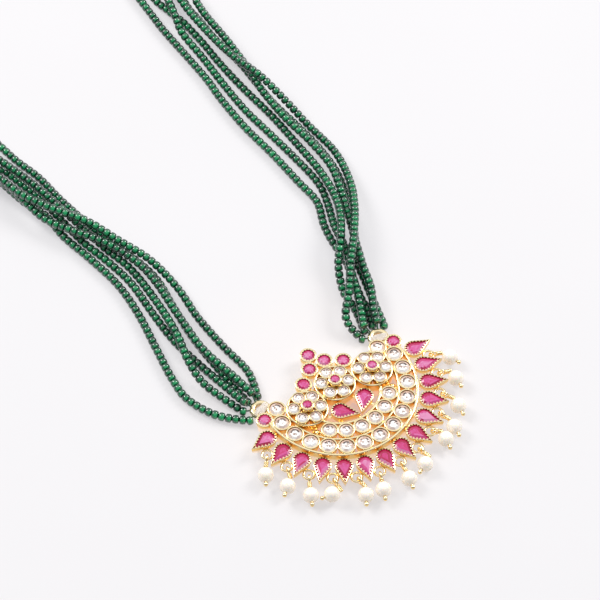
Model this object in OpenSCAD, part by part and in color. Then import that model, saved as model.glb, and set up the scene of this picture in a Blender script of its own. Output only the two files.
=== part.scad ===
// Short necklace: six strings of green seed beads on each side of a crescent pendant
// set with red and clear stones, with a fringe of pear cut stones and hanging pearls.
// It lies on the surface z = 0, the pendant toward -Y and the neck loop toward +Y.
// The pendant is drawn about the centre of its arcs, and home moves everything so that
// the middle of the whole necklace is at x = 0, y = 0.

/* [Pendant] */
// Radius of the outer rail, to the middle of its wall
rail_r = 19.85; // [19.8:0.05:19.95]
// Height of the three rails above the back
rail_h = 4.2; // [3.8:0.1:4.4]
// Thickness of the outer rail
rail_t = 0.7; // [0.6:0.05:0.8]
// Height of the round collets of the two rows
collet_h = 4.3; // [4:0.1:4.6]
// Height of the round collets at the top
top_h = 3.9; // [3.6:0.1:4.2]
// Height of the collets at the two ends
end_h = 3.4; // [3.2:0.1:3.6]
// Height of the petals of a flower
petal_h = 5.3; // [5:0.1:5.5]
// Height of the middle of a flower
flower_h = 6.4; // [6:0.1:6.5]
// Height of the pear settings of the fringe
pear_h = 3.6; // [3.4:0.1:3.9]
// Radius of the wire of the end loops
loop_wire = 0.85; // [0.75:0.05:0.9]

/* [Stones] */
// Diameter of a clear stone of the outer row
white_d = 3.6; // [3.4:0.1:3.7]
// Diameter of a clear stone of the inner row
inner_d = 3.3; // [3.1:0.1:3.5]
// Diameter of a clear petal stone
petal_d = 2.75; // [2.55:0.05:2.8]
// Diameter of the red middle of a flower
flower_d = 2.4; // [2.2:0.1:2.5]
// Diameter of a round red stone
ruby_d = 3.2; // [3:0.1:3.3]
// Width of a pear cut stone over its head
pear_w = 3.7; // [3.5:0.1:3.8]
// Reach of a pear cut stone from the middle of its head to its tip
pear_reach = 4.5; // [4.3:0.1:4.6]
// Gap round every stone
stone_gap = 0.1; // [0.1:0.02:0.14]

/* [Fringe] */
// Diameter of a pearl
pearl_d = 4; // [3.8:0.1:4]
// Diameter of the bore of a pearl
bore_d = 0.9; // [0.85:0.05:1]
// Diameter of the wire of a headpin
pin_d = 0.6; // [0.5:0.05:0.6]
// Diameter of the ball at the end of a headpin
ball_d = 1.1; // [1:0.05:1.1]

/* [Strands] */
// Diameter of a string of seed beads
bead_d = 2.3; // [2:0.05:2.3]

/* [Clasp] */
// Length of the barrel clasp
clasp_l = 14; // [13:0.5:14.5]
// Diameter of the barrel clasp
clasp_d = 7.2; // [7:0.1:7.4]

/* [Hidden] */
$fn = 48;
home = [-6.11, -85.72, 0];
FRINGE = [1:14];
DROPS = [1:13];
SIDES = ["left", "right"];

// Where the settings sit, about the centre of the arcs, angles from straight down
outer_r = 17.43;    // outer row of clear stones
outer_step = 14.78;
inner_r = 12.85;    // inner row of clear stones
inner_step = 18.3;
fringe_r = 22.75;   // heads of the pear settings
fringe_step = 13.23;
ring_r = 25.45;     // small open rings between the pears
mid_rail_r = 15.25;
inner_rail_r = 10.64;
ring_bend = 1.3;    // ring, to the middle of its wire
ring_wire = 0.35;
drop_z = 2;         // height of the rings, headpins and pearls
// Flowers: x, y, angle of the first petal
flowers = [[0, 1.1, 92], [-10.05, -0.9, 92.5], [10.05, -0.9, 87.5]];
petal_r = 3.35;     // petals about the middle of a flower
rim_r = 5;          // rim about the middle of a flower
top_at = [[0, 12.1], [-2.3, 8.5], [2.3, 8.5], [-6.2, 5.75], [6.2, 5.75]];
end_white_at = [15.7, 4.1];
end_ruby_at = [20.05, 3.2];
loop_at = [18.4, 7.1];
loop_r = 1.95;
centre_pear_at = [3.75, -6.05];
centre_pear_turn = 44;
granule_at = [11.65, -7.2];

// Pearls: x, y, direction of the headpin's ball as seen from the pearl
drops = [
    [-28.8, -9.2, 234], [-26.4, -14.9, 217], [-23.4, -20.3, 240], [-19.1, -23.1, 168],
    [-12.6, -28.1, 236], [-8.2, -29.4, 242], [-1.2, -30.6, 252], [4.5, -29.6, 204],
    [13.1, -26.9, 255], [17, -25.3, 258], [21.7, -21, 258], [26.3, -14.2, 262],
    [29, -8.4, 291]
];

// Strings of beads, from the end loop up to the neck. Columns: x, y, layer. A layer is
// half a string high: 1 lies on the surface, 3 lies on another string.
layer = bead_d / 2;
left_routes = [
    [[-19.5, 11, 1], [-19.5, 17.5, 1], [-19.5, 26, 1], [-19, 36, 1], [-17.5, 46, 1],
     [-16, 55.5, 1], [-17, 64.5, 1], [-19, 73, 1], [-20.5, 82, 1], [-21.5, 91, 1], [-22, 100, 1],
     [-23.5, 107.5, 1], [-24, 111.5, 1], [-24.5, 116, 1], [-25.5, 119.5, 1], [-27, 140, 1]],
    [[-22.5, 6.5, 1], [-28, 12.5, 1], [-31, 20.5, 1], [-30.5, 28, 1], [-28.5, 37.5, 1],
     [-26, 49, 1], [-25, 59.5, 1], [-26, 70, 1], [-27.5, 80, 1], [-27.5, 88.5, 1],
     [-29.5, 95.5, 1], [-30.5, 102.5, 1], [-31.5, 108.5, 1], [-32.5, 112, 1], [-33.5, 136, 1]],
    [[-21, 10.5, 3], [-21.5, 16.5, 2], [-22.5, 26.5, 1], [-23.5, 36.5, 1], [-23, 46.5, 1],
     [-22, 58, 1], [-23, 67.5, 1], [-24.5, 76, 1], [-25, 84.5, 1], [-25.5, 93.5, 1],
     [-27, 101.5, 1], [-28, 107, 1], [-30, 112, 1], [-30.5, 136, 1]],
    [[-22, 9.5, 1], [-24, 15.5, 1.5], [-25.5, 22, 2], [-25, 28.5, 3], [-22.5, 37.5, 3],
     [-20.5, 49, 2], [-19.5, 61, 1], [-21, 70.5, 1], [-22.5, 79.5, 2], [-24, 88, 3],
     [-25.5, 97.5, 3.5], [-28, 108.5, 3.5], [-29.5, 113, 3.5], [-30, 136.5, 3.5]],
    [[-18, 11.5, 3], [-18.5, 17, 3], [-20, 29, 3], [-19, 41, 3], [-17.5, 54, 3], [-18, 62, 3],
     [-21, 70.5, 3.5], [-25.5, 78.5, 3.5], [-29, 86, 3], [-30, 93, 3], [-30.5, 99, 3],
     [-32, 106, 3], [-32, 109.5, 3], [-33, 135, 3]],
    [[-16.5, 11, 1], [-14, 18.5, 1], [-14.5, 28, 1], [-14.5, 39, 1], [-13.5, 49.5, 1.5],
     [-14.5, 60, 2.5], [-18, 69.5, 3.5], [-21.5, 78.5, 4.5], [-27, 87.5, 5], [-30.5, 95.5, 5],
     [-32, 103, 5], [-34, 107.5, 5], [-32, 133.5, 5]]
];
right_routes = [
    [[22, 9.5, 1], [24, 15.5, 1], [26.5, 23, 1], [29, 30, 1], [34, 37.5, 1], [38, 45, 1],
     [41.5, 53.5, 1], [43, 62.5, 1], [43, 73, 1], [42.5, 84, 1], [43, 93, 1], [43.5, 101, 1],
     [43, 110.5, 1], [43.5, 119.5, 1], [43.5, 124, 1], [44, 128.5, 1], [43.5, 144, 1]],
    [[19.5, 11, 1], [21.5, 15.5, 1], [22.5, 19.5, 1], [24.5, 25.5, 1], [26.5, 31.5, 1],
     [27.5, 38.5, 1], [29, 44, 1], [32, 51, 1], [32, 59, 1], [32, 70.5, 1], [31.5, 82, 1],
     [32, 93.5, 1], [33, 102.5, 1], [33.5, 121.5, 1], [34, 127.5, 1], [34.5, 133, 1],
     [35, 138, 1], [36.5, 149, 1]],
    [[17, 11, 1], [18.5, 15.5, 1], [19.5, 19.5, 1], [20, 24, 1.5], [23, 30, 3.5],
     [28, 35.5, 5.5], [33, 42.5, 4.5], [36, 49.5, 3.5], [38, 58.5, 2.5], [39, 70, 1.5],
     [39.5, 80.5, 1], [39, 92.5, 1], [39, 103, 1], [39.5, 112.5, 1], [39.5, 121, 1],
     [39, 124, 1], [38.5, 128, 1], [38, 133, 1], [39.5, 147, 1]],
    [[17, 11.5, 3], [19.5, 16, 3], [22.5, 22, 3], [25, 27.5, 3], [28, 34, 3], [30.5, 41.5, 2],
     [34, 49, 1], [36, 56, 1], [36, 66, 1], [35.5, 76.5, 1], [35, 86.5, 1], [35.5, 97, 1],
     [36.5, 109, 1], [36.5, 117.5, 2], [38, 123, 3], [39.5, 128, 3], [40, 132, 3], [39, 146, 3]],
    [[20.5, 10.5, 3], [22, 14, 3], [25.5, 19.5, 3], [28, 26, 3], [31.5, 34, 3], [35, 41.5, 3],
     [38.5, 49.5, 3], [41, 57, 3], [41.5, 66.5, 3], [41, 77, 3], [41.5, 87.5, 3], [43, 96, 3],
     [44, 107.5, 3.5], [44.5, 117.5, 3.5], [45.5, 123, 3], [46.5, 128, 2.5], [44, 143.5, 3]],
    [[15, 9.5, 1], [14.5, 15.5, 3], [20, 21.5, 4.5], [25, 27.5, 5.5], [31, 34, 5.5],
     [37, 41.5, 4.5], [42, 50, 3], [45.5, 61, 1.5], [45.5, 72, 1], [44.5, 82, 3], [43, 91, 5],
     [41.5, 101, 4.5], [41.5, 111.5, 3.5], [42, 122, 3], [42.5, 126.5, 3], [42.5, 130.5, 3.5],
     [41.5, 145.5, 4]]
];

// The plain way round the neck: an oval, with the strings side by side in a bundle.
// Each string's place in the bundle: distance out from the middle, layer.
neck_at = [4.5, 160];
neck_rx = 36;
neck_ry = 42;
left_places = [[-2.6, 1], [2.6, 1], [0, 1], [-1.3, 3], [1.3, 3], [0, 5]];
right_places = [[2.6, 1], [-2.6, 1], [0, 1], [-1.3, 3], [1.3, 3], [0, 5]];
neck_angles = [0, 26, 50, 68];
clasp_y = neck_at[1] + neck_ry - 0.5;
tie_in = clasp_l / 2 + 0.8;
sides_of_string = 8;
ring_step = 5;

// Helpers

function on_arc(r, t) = [r * sin(t), -r * cos(t)];
function unit2(v) = v / norm(v);
function flip(p) = [-p[0], p[1]];

// Outline of a pear: a round head of radius r at the origin and a tip at [0, -reach]
function pear_outline(r, reach, steps) =
    let (a = acos(r / reach))
    concat([[0, -reach]],
        [for (i = [0:steps]) let (t = -90 + a + i * (360 - 2 * a) / steps) [r * cos(t), r * sin(t)]]);

module at(p, z = 0) {
    translate([p[0], p[1], z]) children();
}

// Straight solder bar between two points
module bar(p, q, w, h) {
    d = q - p;
    translate([p[0], p[1], 0]) rotate([0, 0, atan2(d[1], d[0])])
        translate([0, -w / 2, 0]) cube([norm(d), w, h]);
}

// Curved rail of radius r and thickness t, reaching a degrees each way from straight down
module rail(r, t, h, a) {
    rotate([0, 0, -90 - a]) rotate_extrude(angle = 2 * a) translate([r - t / 2, 0]) square([t, h]);
}

module wire_ring(bend, wire) {
    rotate_extrude() translate([bend, 0]) circle(r = wire);
}

// Faceted stone on the outline p: a table, a crown, a girdle and a pavilion to a point
module faceted(p, table, crown, girdle, pavilion, deep_at = [0, 0]) {
    n = len(p);
    v = concat(
        [for (i = [0:n - 1]) let (q = (p[i] + p[(i + 1) % n]) * table / 2) [q[0], q[1], 0]],
        [for (q = p) [q[0], q[1], -crown]],
        [for (q = p) [q[0], q[1], -crown - girdle]],
        [[deep_at[0], deep_at[1], -crown - girdle - pavilion]]);
    f = concat(
        [[for (i = [n - 1:-1:0]) i]],
        [for (i = [0:n - 1]) [i, n + (i + 1) % n, n + i]],
        [for (i = [0:n - 1]) [i, (i + 1) % n, n + (i + 1) % n]],
        [for (i = [0:n - 1]) [n + i, n + (i + 1) % n, 2 * n + (i + 1) % n, 2 * n + i]],
        [for (i = [0:n - 1]) [2 * n + i, 2 * n + (i + 1) % n, 3 * n]]);
    polyhedron(points = v, faces = f);
}

// Round stone of diameter d, its table a little above the collet of height h
module round_stone(d, h) {
    r = d / 2;
    translate([0, 0, h + 0.2])
        faceted([for (i = [0:9]) [r * cos(36 * i), r * sin(36 * i)]], 0.62, 0.28 * r, 0.2, 0.6 * r);
}

// Pear cut stone with its tip toward -Y
module pear_stone(h) {
    translate([0, 0, h + 0.1])
        faceted(pear_outline(pear_w / 2, pear_reach, 11), 0.6, 0.45, 0.2, 0.9, [0, -0.8]);
}

// Blind seat for a round stone
module round_seat(p, d, h) {
    r = d / 2;
    at(p, h - 0.88 * r - 0.12) cylinder(r = r + stone_gap, h = 0.88 * r + 1);
}

// Pendant frame

pear_wall = 0.5;
collet_wall = 0.5;

function fringe_turn(k) = (k - 7.5) * fringe_step;
function ring_at(k) = on_arc(ring_r, (k - 7) * fringe_step);
function outer_at(k) = on_arc(outer_r, (k - 6) * outer_step);
function inner_at(k) = on_arc(inner_r, (k - 2.5) * inner_step);
function petal_at(f, k) = [f[0] + petal_r * cos(f[2] + 60 * k), f[1] + petal_r * sin(f[2] + 60 * k)];

// Things on the fringe: k-th pear, head at fringe_r, tip outward
module fringe_place(k) {
    rotate([0, 0, fringe_turn(k)]) translate([0, -fringe_r, 0]) children();
}

module centre_place(s) {
    translate([s * centre_pear_at[0], centre_pear_at[1], 0]) rotate([0, 0, -s * centre_pear_turn])
        children();
}

// A cup on a smaller foot
module pear_block() {
    translate([0, 0, 1.5]) linear_extrude(height = pear_h - 1.5)
        polygon(pear_outline(pear_w / 2 + pear_wall, pear_reach + 0.8, 16));
    linear_extrude(height = 2) polygon(pear_outline(pear_w / 2 - 0.1, pear_reach - 0.9, 16));
}

module pear_seat() {
    g = 1 + 2 * stone_gap / pear_w;
    translate([0, 0, pear_h - 1.6]) linear_extrude(height = 3)
        polygon(pear_outline(g * pear_w / 2, g * pear_reach, 16));
}

module flower_block(f) {
    at(f) {
        rotate_extrude() translate([rim_r - 0.3, 0]) square([0.6, 4.7]);
        cylinder(r = flower_d / 2 + collet_wall, h = flower_h);
    }
    for (k = [0:5]) at(petal_at(f, k)) cylinder(r = petal_d / 2 + 0.4, h = petal_h);
}

module end_block(s) {
    e = [s * end_white_at[0], end_white_at[1]];
    r = [s * end_ruby_at[0], end_ruby_at[1]];
    at(e) cylinder(r = white_d / 2 + 0.55, h = end_h);
    at(r) cylinder(r = ruby_d / 2 + 0.6, h = end_h);
    bar(e, r, 1.4, 2);
    bar(e, outer_at(6 + 6 * s), 1.4, 2);
    at([s * loop_at[0], loop_at[1]], 1.5) wire_ring(loop_r, loop_wire);
    g = [s * granule_at[0], granule_at[1]];
    at(g) cylinder(r = 1.35, h = 2.3);
    at(g, 2.6) sphere(r = 0.8);
}

module solder_bars() {
    mid = 2;
    bar(top_at[1], top_at[2], 1.2, mid);
    bar(top_at[1], top_at[3], 1.2, mid);
    bar(top_at[2], top_at[4], 1.2, mid);
    for (s = [-1, 1]) {
        c = [s * centre_pear_at[0], centre_pear_at[1]];
        bar([s * 1, 4.5], [s * 2.3, 8.5], 1.2, mid);
        bar([s * 4.3, 2.9], [s * 6.2, 5.75], 1.2, mid);
        bar([s * 6.2, 5.75], [s * 8.7, 1.9], 1.2, mid);
        bar([s * 1.5, -1.8], c, 1.2, mid);
        bar(c, [s * 7.4, -3.9], 1.2, mid);
        bar(c, [s * 5.6, -9.1], 1.2, mid);
    }
    bar([0, -8.8], [0, -10.6], 1, mid);
    for (k = FRINGE) rotate([0, 0, fringe_turn(k)]) translate([-0.7, -21.2, 0]) cube([1.4, 1.4, mid]);
}

module pendant_frame() {
    color("goldenrod") translate(home) difference() {
        union() {
            rail(rail_r, rail_t, rail_h, 94);
            rail(mid_rail_r, 0.6, rail_h - 0.1, 79);
            rail(inner_rail_r, 0.7, rail_h - 0.1, 57.3);
            for (k = [0:12]) at(outer_at(k)) cylinder(r = white_d / 2 + collet_wall, h = collet_h);
            for (k = [0:5]) at(inner_at(k)) cylinder(r = inner_d / 2 + 0.55, h = collet_h);
            for (f = flowers) flower_block(f);
            for (p = top_at) at(p) cylinder(r = ruby_d / 2 + 0.6, h = top_h);
            for (k = FRINGE) fringe_place(k) pear_block();
            for (k = DROPS) at(ring_at(k), drop_z) wire_ring(ring_bend, ring_wire);
            for (s = [-1, 1]) {
                centre_place(s) translate([0, 0, 0.8]) pear_block();
                centre_place(s) linear_extrude(height = 1)
                    polygon(pear_outline(pear_w / 2 - 0.15, pear_reach - 1, 16));
                end_block(s);
            }
            solder_bars();
        }
        for (k = [0:12]) round_seat(outer_at(k), white_d, collet_h);
        for (k = [0:5]) round_seat(inner_at(k), inner_d, collet_h);
        for (p = top_at) round_seat(p, ruby_d, top_h);
        for (f = flowers) {
            round_seat(f, flower_d, flower_h);
            for (k = [0:5]) round_seat(petal_at(f, k), petal_d, petal_h);
        }
        for (k = FRINGE) fringe_place(k) pear_seat();
        for (s = [-1, 1]) {
            round_seat([s * end_white_at[0], end_white_at[1]], white_d, end_h);
            round_seat([s * end_ruby_at[0], end_ruby_at[1]], ruby_d, end_h);
            centre_place(s) translate([0, 0, 0.8]) pear_seat();
        }
    }
}

// Stones

module fringe_ruby(k) {
    color("mediumvioletred") translate(home) fringe_place(k) pear_stone(pear_h);
}

module centre_pear(s) {
    color("mediumvioletred") translate(home) centre_place(s) pear_stone(pear_h + 0.8);
}

module top_ruby(k) {
    color("mediumvioletred") translate(home) at(top_at[k]) round_stone(ruby_d, top_h);
}

module flower_ruby(k) {
    color("mediumvioletred") translate(home) at(flowers[k]) round_stone(flower_d, flower_h);
}

module end_ruby(s) {
    color("mediumvioletred") translate(home)
        at([s * end_ruby_at[0], end_ruby_at[1]]) round_stone(ruby_d, end_h);
}

module outer_white_stones() {
    color("white") translate(home) {
        for (k = [0:12]) at(outer_at(k)) round_stone(white_d, collet_h);
        for (s = [-1, 1]) at([s * end_white_at[0], end_white_at[1]]) round_stone(white_d, end_h);
    }
}

module inner_white_stones() {
    color("white") translate(home) for (k = [0:5]) at(inner_at(k)) round_stone(inner_d, collet_h);
}

module flower_white_stones() {
    color("white") translate(home)
        for (f = flowers, k = [0:5]) at(petal_at(f, k)) round_stone(petal_d, petal_h);
}

// Pearls and headpins

// Where the headpin leaves the pearl on the ring's side
function bend_at(k) = let (d = drops[k - 1])
    [d[0], d[1]] - 2.45 * [cos(d[2]), sin(d[2])];

module pearl(k) {
    d = drops[k - 1];
    color("ivory") translate(home) at(d, drop_z) rotate([0, 0, d[2]]) rotate([0, 90, 0]) difference() {
        sphere(d = pearl_d);
        translate([0, 0, -pearl_d]) cylinder(d = bore_d, h = 2 * pearl_d);
    }
}

module headpin(k) {
    d = drops[k - 1];
    b = bend_at(k);
    u = unit2(b - ring_at(k));
    eye = ring_at(k) + ring_bend * u;
    neck = eye + 0.95 * u;
    at(d, drop_z) rotate([0, 0, d[2]]) {
        translate([2.65, 0, 0]) sphere(d = ball_d);
        translate([-2.45, 0, 0]) rotate([0, 90, 0]) cylinder(d = pin_d, h = 5);
    }
    at(b, drop_z) sphere(d = pin_d + 0.14);
    at(neck, drop_z) rotate([0, 0, atan2(u[1], u[0])]) rotate([0, 90, 0])
        cylinder(d = pin_d - 0.12, h = norm(b - neck));
    at(eye, drop_z) rotate([0, 0, atan2(u[1], u[0])]) rotate([90, 0, 0]) rotate([0, 0, 140])
        wire_ring(0.95, pin_d / 2);
}

module headpins() {
    color("goldenrod") translate(home) for (k = DROPS) headpin(k);
}

// Strings of seed beads

function curve_at(a, b, c, d, t) =
    0.5 * (2 * b + (c - a) * t + (2 * a - 5 * b + 4 * c - d) * t * t + (3 * b - a - 3 * c + d) * t * t * t);

// Points along a smooth line through the route's points, never under the first layer
function along(p) = concat(
    [for (i = [0:len(p) - 2])
        let (a = i > 0 ? p[i - 1] : 2 * p[0] - p[1],
             d = i + 2 < len(p) ? p[i + 2] : 2 * p[i + 1] - p[i],
             m = max(1, ceil(norm(p[i + 1] - p[i]) / ring_step)))
        for (j = [0:m - 1]) let (q = curve_at(a, p[i], p[i + 1], d, j / m))
            [q[0], q[1], max(q[2], layer)]],
    [p[len(p) - 1]]);

// The hidden stretch: round the oval and into the clasp
function neck_way(s, place) = let (o = place[0], z = place[1]) concat(
    [for (a = neck_angles) [neck_at[0] + s * (neck_rx + o) * cos(a), neck_at[1] + (neck_ry + o) * sin(a), z]],
    [[neck_at[0] + s * tie_in, clasp_y + o, z]]);

function full_route(s, k) =
    let (p = s < 0 ? left_routes[k] : right_routes[k],
         w = neck_way(s, s < 0 ? left_places[k] : right_places[k]))
    [for (q = concat(p, w)) [q[0], q[1], q[2] * layer]];

module string_tube(route, r, n) {
    c = along(route);
    m = len(c);
    v = [for (i = [0:m - 1])
        let (g = c[min(i + 1, m - 1)] - c[max(i - 1, 0)],
             w = g / norm(g),
             s0 = cross(w, [0, 0, 1]),
             s = s0 / norm(s0),
             u = cross(s, w))
        for (j = [0:n - 1]) let (a = 360 * (j + 0.5) / n) c[i] + r * (cos(a) * s + sin(a) * u)];
    f = concat(
        [[for (j = [0:n - 1]) j]],
        [for (i = [0:m - 2], j = [0:n - 1])
            [i * n + j, (i + 1) * n + j, (i + 1) * n + (j + 1) % n, i * n + (j + 1) % n]],
        [[for (j = [n - 1:-1:0]) (m - 1) * n + j]]);
    polyhedron(points = v, faces = f);
}

module strand(s, k) {
    color("darkgreen") translate(home) string_tube(full_route(s, k - 1), bead_d / 2, sides_of_string);
}

// Clasp

module barrel_clasp() {
    color("goldenrod") translate(home)
        translate([neck_at[0], clasp_y, clasp_d / 2]) rotate([0, 90, 0]) {
            translate([0, 0, -clasp_l / 2]) cylinder(d = clasp_d - 0.6, h = clasp_l);
            translate([0, 0, -clasp_l / 2 + 2]) cylinder(d = clasp_d, h = clasp_l - 4);
        }
}

pendant_frame();
for (k = FRINGE) fringe_ruby(k);
centre_pear(-1);  // centre_pear_left
centre_pear(1);  // centre_pear_right
top_ruby(0);  // top_ruby_peak
top_ruby(1);  // top_ruby_mid_left
top_ruby(2);  // top_ruby_mid_right
top_ruby(3);  // top_ruby_low_left
top_ruby(4);  // top_ruby_low_right
flower_ruby(0);  // flower_ruby_top
flower_ruby(1);  // flower_ruby_left
flower_ruby(2);  // flower_ruby_right
end_ruby(-1);  // end_ruby_left
end_ruby(1);  // end_ruby_right
outer_white_stones();
inner_white_stones();
flower_white_stones();
for (k = DROPS) pearl(k);
headpins();
for (k = [1:6]) strand(-1, k);
for (k = [1:6]) strand(1, k);
barrel_clasp();
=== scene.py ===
"""A short necklace: twelve strings of green glass beads and a gilt pendant with red and clear stones.

The gilt work, the cut stones, the pearls on their pins, the beads and the clasp are modelled
piece by piece on the places of the CAD part. Sizes and places are in millimetres, and become
metres where a piece is modelled. The finishes and the studio's lights are in metres.
"""

import logging
import math
import random
from dataclasses import dataclass
from enum import Enum, IntEnum
from typing import Callable, Sequence

import bmesh
import bpy
from mathutils import Matrix, Vector


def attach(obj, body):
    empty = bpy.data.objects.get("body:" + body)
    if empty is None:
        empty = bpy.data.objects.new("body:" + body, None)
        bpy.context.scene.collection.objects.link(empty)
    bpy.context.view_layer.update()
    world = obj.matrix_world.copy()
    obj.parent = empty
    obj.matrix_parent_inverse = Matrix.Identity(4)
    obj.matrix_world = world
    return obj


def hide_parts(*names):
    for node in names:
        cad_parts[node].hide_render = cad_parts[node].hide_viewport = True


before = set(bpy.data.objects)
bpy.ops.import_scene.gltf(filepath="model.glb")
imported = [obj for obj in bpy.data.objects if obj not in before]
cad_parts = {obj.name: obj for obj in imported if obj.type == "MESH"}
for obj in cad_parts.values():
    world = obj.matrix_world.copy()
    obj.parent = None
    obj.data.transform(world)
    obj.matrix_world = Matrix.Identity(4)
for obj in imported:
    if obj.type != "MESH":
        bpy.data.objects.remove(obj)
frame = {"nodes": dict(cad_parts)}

log = logging.getLogger("necklace")

Piece = bpy.types.Object
Point = tuple[float, float]
Triple = tuple[float, float, float]
Colour = tuple[float, float, float, float]
Route = Sequence[Triple]
Stops = Sequence[tuple[float, Triple]]

MM = 0.001
# How near two corners lie when they count as one, in metres
NEAR = 1e-6
# The centre of the pendant's arcs, from the middle of the whole necklace
HOME = Vector((-6.11, -85.72, 0.0))
# The photo's upward direction, on the surface that the necklace lies on
UP_THE_VIEW = Vector((0.593, 0.805, 0.0))
# The end loop on the right, the height of both and the bend of their wire
END_LOOP: Point = (18.4, 7.1)
END_LOOP_LEVEL = 1.5
END_LOOP_BEND = 1.95


class Side(IntEnum):
    """The two sides of the necklace, as the sign of X."""

    LEFT = -1
    RIGHT = 1

    @property
    def word(self) -> str:
        """The side's word in the names of pieces."""
        return self.name.lower()


# The workbench


class Part(Enum):
    """What is picked in edit mode."""

    CORNER = "VERT"
    EDGE = "EDGE"
    FACE = "FACE"


class Bench:
    """The workbench: modelling operators, always on a selection made in code."""

    @staticmethod
    def take(*pieces: Piece) -> None:
        """Selects these pieces alone, the first one active.

        Args:
            *pieces: the pieces to select.
        """
        for other in bpy.context.selected_objects:
            other.select_set(False)
        for piece in pieces:
            piece.select_set(True)
        bpy.context.view_layer.objects.active = pieces[0]

    @staticmethod
    def open(piece: Piece) -> None:
        """Opens a piece for editing with nothing selected.

        Args:
            piece: the piece to edit.
        """
        Bench.take(piece)
        bpy.ops.object.mode_set(mode="EDIT")
        bpy.ops.mesh.select_all(action="DESELECT")

    @staticmethod
    def close() -> None:
        """Ends the editing of a piece."""
        bpy.ops.object.mode_set(mode="OBJECT")

    @staticmethod
    def pick(part: Part, test: Callable[..., bool]) -> None:
        """Selects, in the open piece, the parts that pass a test.

        Args:
            part: corners, edges or faces.
            test: says of each part whether it is wanted.
        """
        bpy.ops.mesh.select_mode(type=part.value)
        bpy.ops.mesh.select_all(action="DESELECT")
        mesh = bpy.context.edit_object.data
        shape = bmesh.from_edit_mesh(mesh)
        for one in {Part.CORNER: shape.verts, Part.EDGE: shape.edges, Part.FACE: shape.faces}[part]:
            if test(one):
                one.select_set(True)
        shape.select_flush_mode()
        bmesh.update_edit_mesh(mesh)

    @staticmethod
    def pick_all() -> None:
        """Selects all of the open piece."""
        bpy.ops.mesh.select_all(action="SELECT")

    @staticmethod
    def corners(test: Callable[..., bool]) -> list[tuple[int, Vector]]:
        """The number and place of each corner of the open piece that passes a test."""
        shape = bmesh.from_edit_mesh(bpy.context.edit_object.data)
        return [(v.index, v.co.copy()) for v in shape.verts if test(v)]

    @staticmethod
    def scale(size: Sequence[float], centre: Sequence[float] = (0, 0, 0)) -> None:
        """Scales what is picked about a centre in mm."""
        bpy.ops.transform.resize(value=size, center_override=tuple(c * MM for c in centre))

    @staticmethod
    def sink(depth: float) -> None:
        """Extrudes the picked faces straight down by a depth in mm."""
        bpy.ops.mesh.extrude_region_move(TRANSFORM_OT_translate={"value": (0, 0, -depth * MM)})

    @staticmethod
    def outward() -> None:
        """Merges doubles of the open piece and turns its faces outward."""
        Bench.pick_all()
        bpy.ops.mesh.remove_doubles(threshold=NEAR)
        bpy.ops.mesh.normals_make_consistent(inside=False)

    @staticmethod
    def settle(piece: Piece) -> Piece:
        """Puts a piece's place, turn and size into its mesh, and returns it.

        Args:
            piece: the piece.

        Returns:
            The same piece.
        """
        Bench.take(piece)
        bpy.ops.object.transform_apply(location=True, rotation=True, scale=True)
        return piece

    @staticmethod
    def smooth(piece: Piece, degrees: float = 40.0) -> Piece:
        """Shades a piece smooth but for edges sharper than an angle, and returns it.

        Args:
            piece: the piece.
            degrees: the angle.

        Returns:
            The same piece.
        """
        Bench.take(piece)
        bpy.ops.object.shade_smooth_by_angle(angle=math.radians(degrees))
        return piece

    @staticmethod
    def cylinder(radius: float, height: float, sides: int, foot: float = 0.0) -> Piece:
        """Adds an upright cylinder on the height foot.

        Args:
            radius: its radius in mm.
            height: its height in mm.
            sides: how many sides it has.
            foot: the height of its underside in mm.

        Returns:
            The new object, its place in its mesh.
        """
        bpy.ops.mesh.primitive_cylinder_add(
            vertices=sides, radius=radius * MM, depth=height * MM, location=(0, 0, (foot + height / 2) * MM)
        )
        return Bench.settle(bpy.context.object)

    @staticmethod
    def hoop(bend: float, wire: float, around: int, across: int) -> Piece:
        """Adds a round hoop of wire lying flat about the origin.

        Args:
            bend: radius to the middle of the wire in mm.
            wire: radius of the wire in mm.
            around: segments round the hoop.
            across: segments round the wire.

        Returns:
            The new object.
        """
        bpy.ops.mesh.primitive_torus_add(
            major_radius=bend * MM, minor_radius=wire * MM, major_segments=around, minor_segments=across
        )
        return bpy.context.object

    @staticmethod
    def threads(
        name: str, paths: Sequence[Sequence[Vector]], radius: float, rounds: int, closed: bool
    ) -> Piece:
        """Draws threads through points.

        Args:
            name: the piece's name.
            paths: the points of each thread in mm, from the middle of the whole necklace.
            radius: radius of a thread in mm.
            rounds: how finely a thread is rounded.
            closed: whether each thread is a closed ring; open ones have caps.

        Returns:
            All the threads as one mesh.
        """
        curve = bpy.data.curves.new(name, "CURVE")
        curve.dimensions = "3D"
        curve.bevel_depth = radius * MM
        curve.bevel_resolution = rounds
        curve.use_fill_caps = not closed
        for path in paths:
            spline = curve.splines.new("POLY")
            spline.points.add(len(path) - 1)
            spline.use_cyclic_u = closed
            for knot, point in zip(spline.points, path):
                knot.co = (*(point * MM), 1.0)
        piece = bpy.data.objects.new(name, curve)
        bpy.context.scene.collection.objects.link(piece)
        Bench.take(piece)
        bpy.ops.object.convert(target="MESH")
        return Bench.smooth(bpy.context.object, 60)

    @staticmethod
    def copy(pattern: Piece, place: Matrix) -> Piece:
        """Copies a pattern with a mesh of its own to a place.

        Args:
            pattern: the piece modelled once, at the origin.
            place: where the copy goes.

        Returns:
            The copy.
        """
        twin = pattern.copy()
        twin.data = pattern.data.copy()
        bpy.context.scene.collection.objects.link(twin)
        twin.matrix_world = place
        return twin

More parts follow.
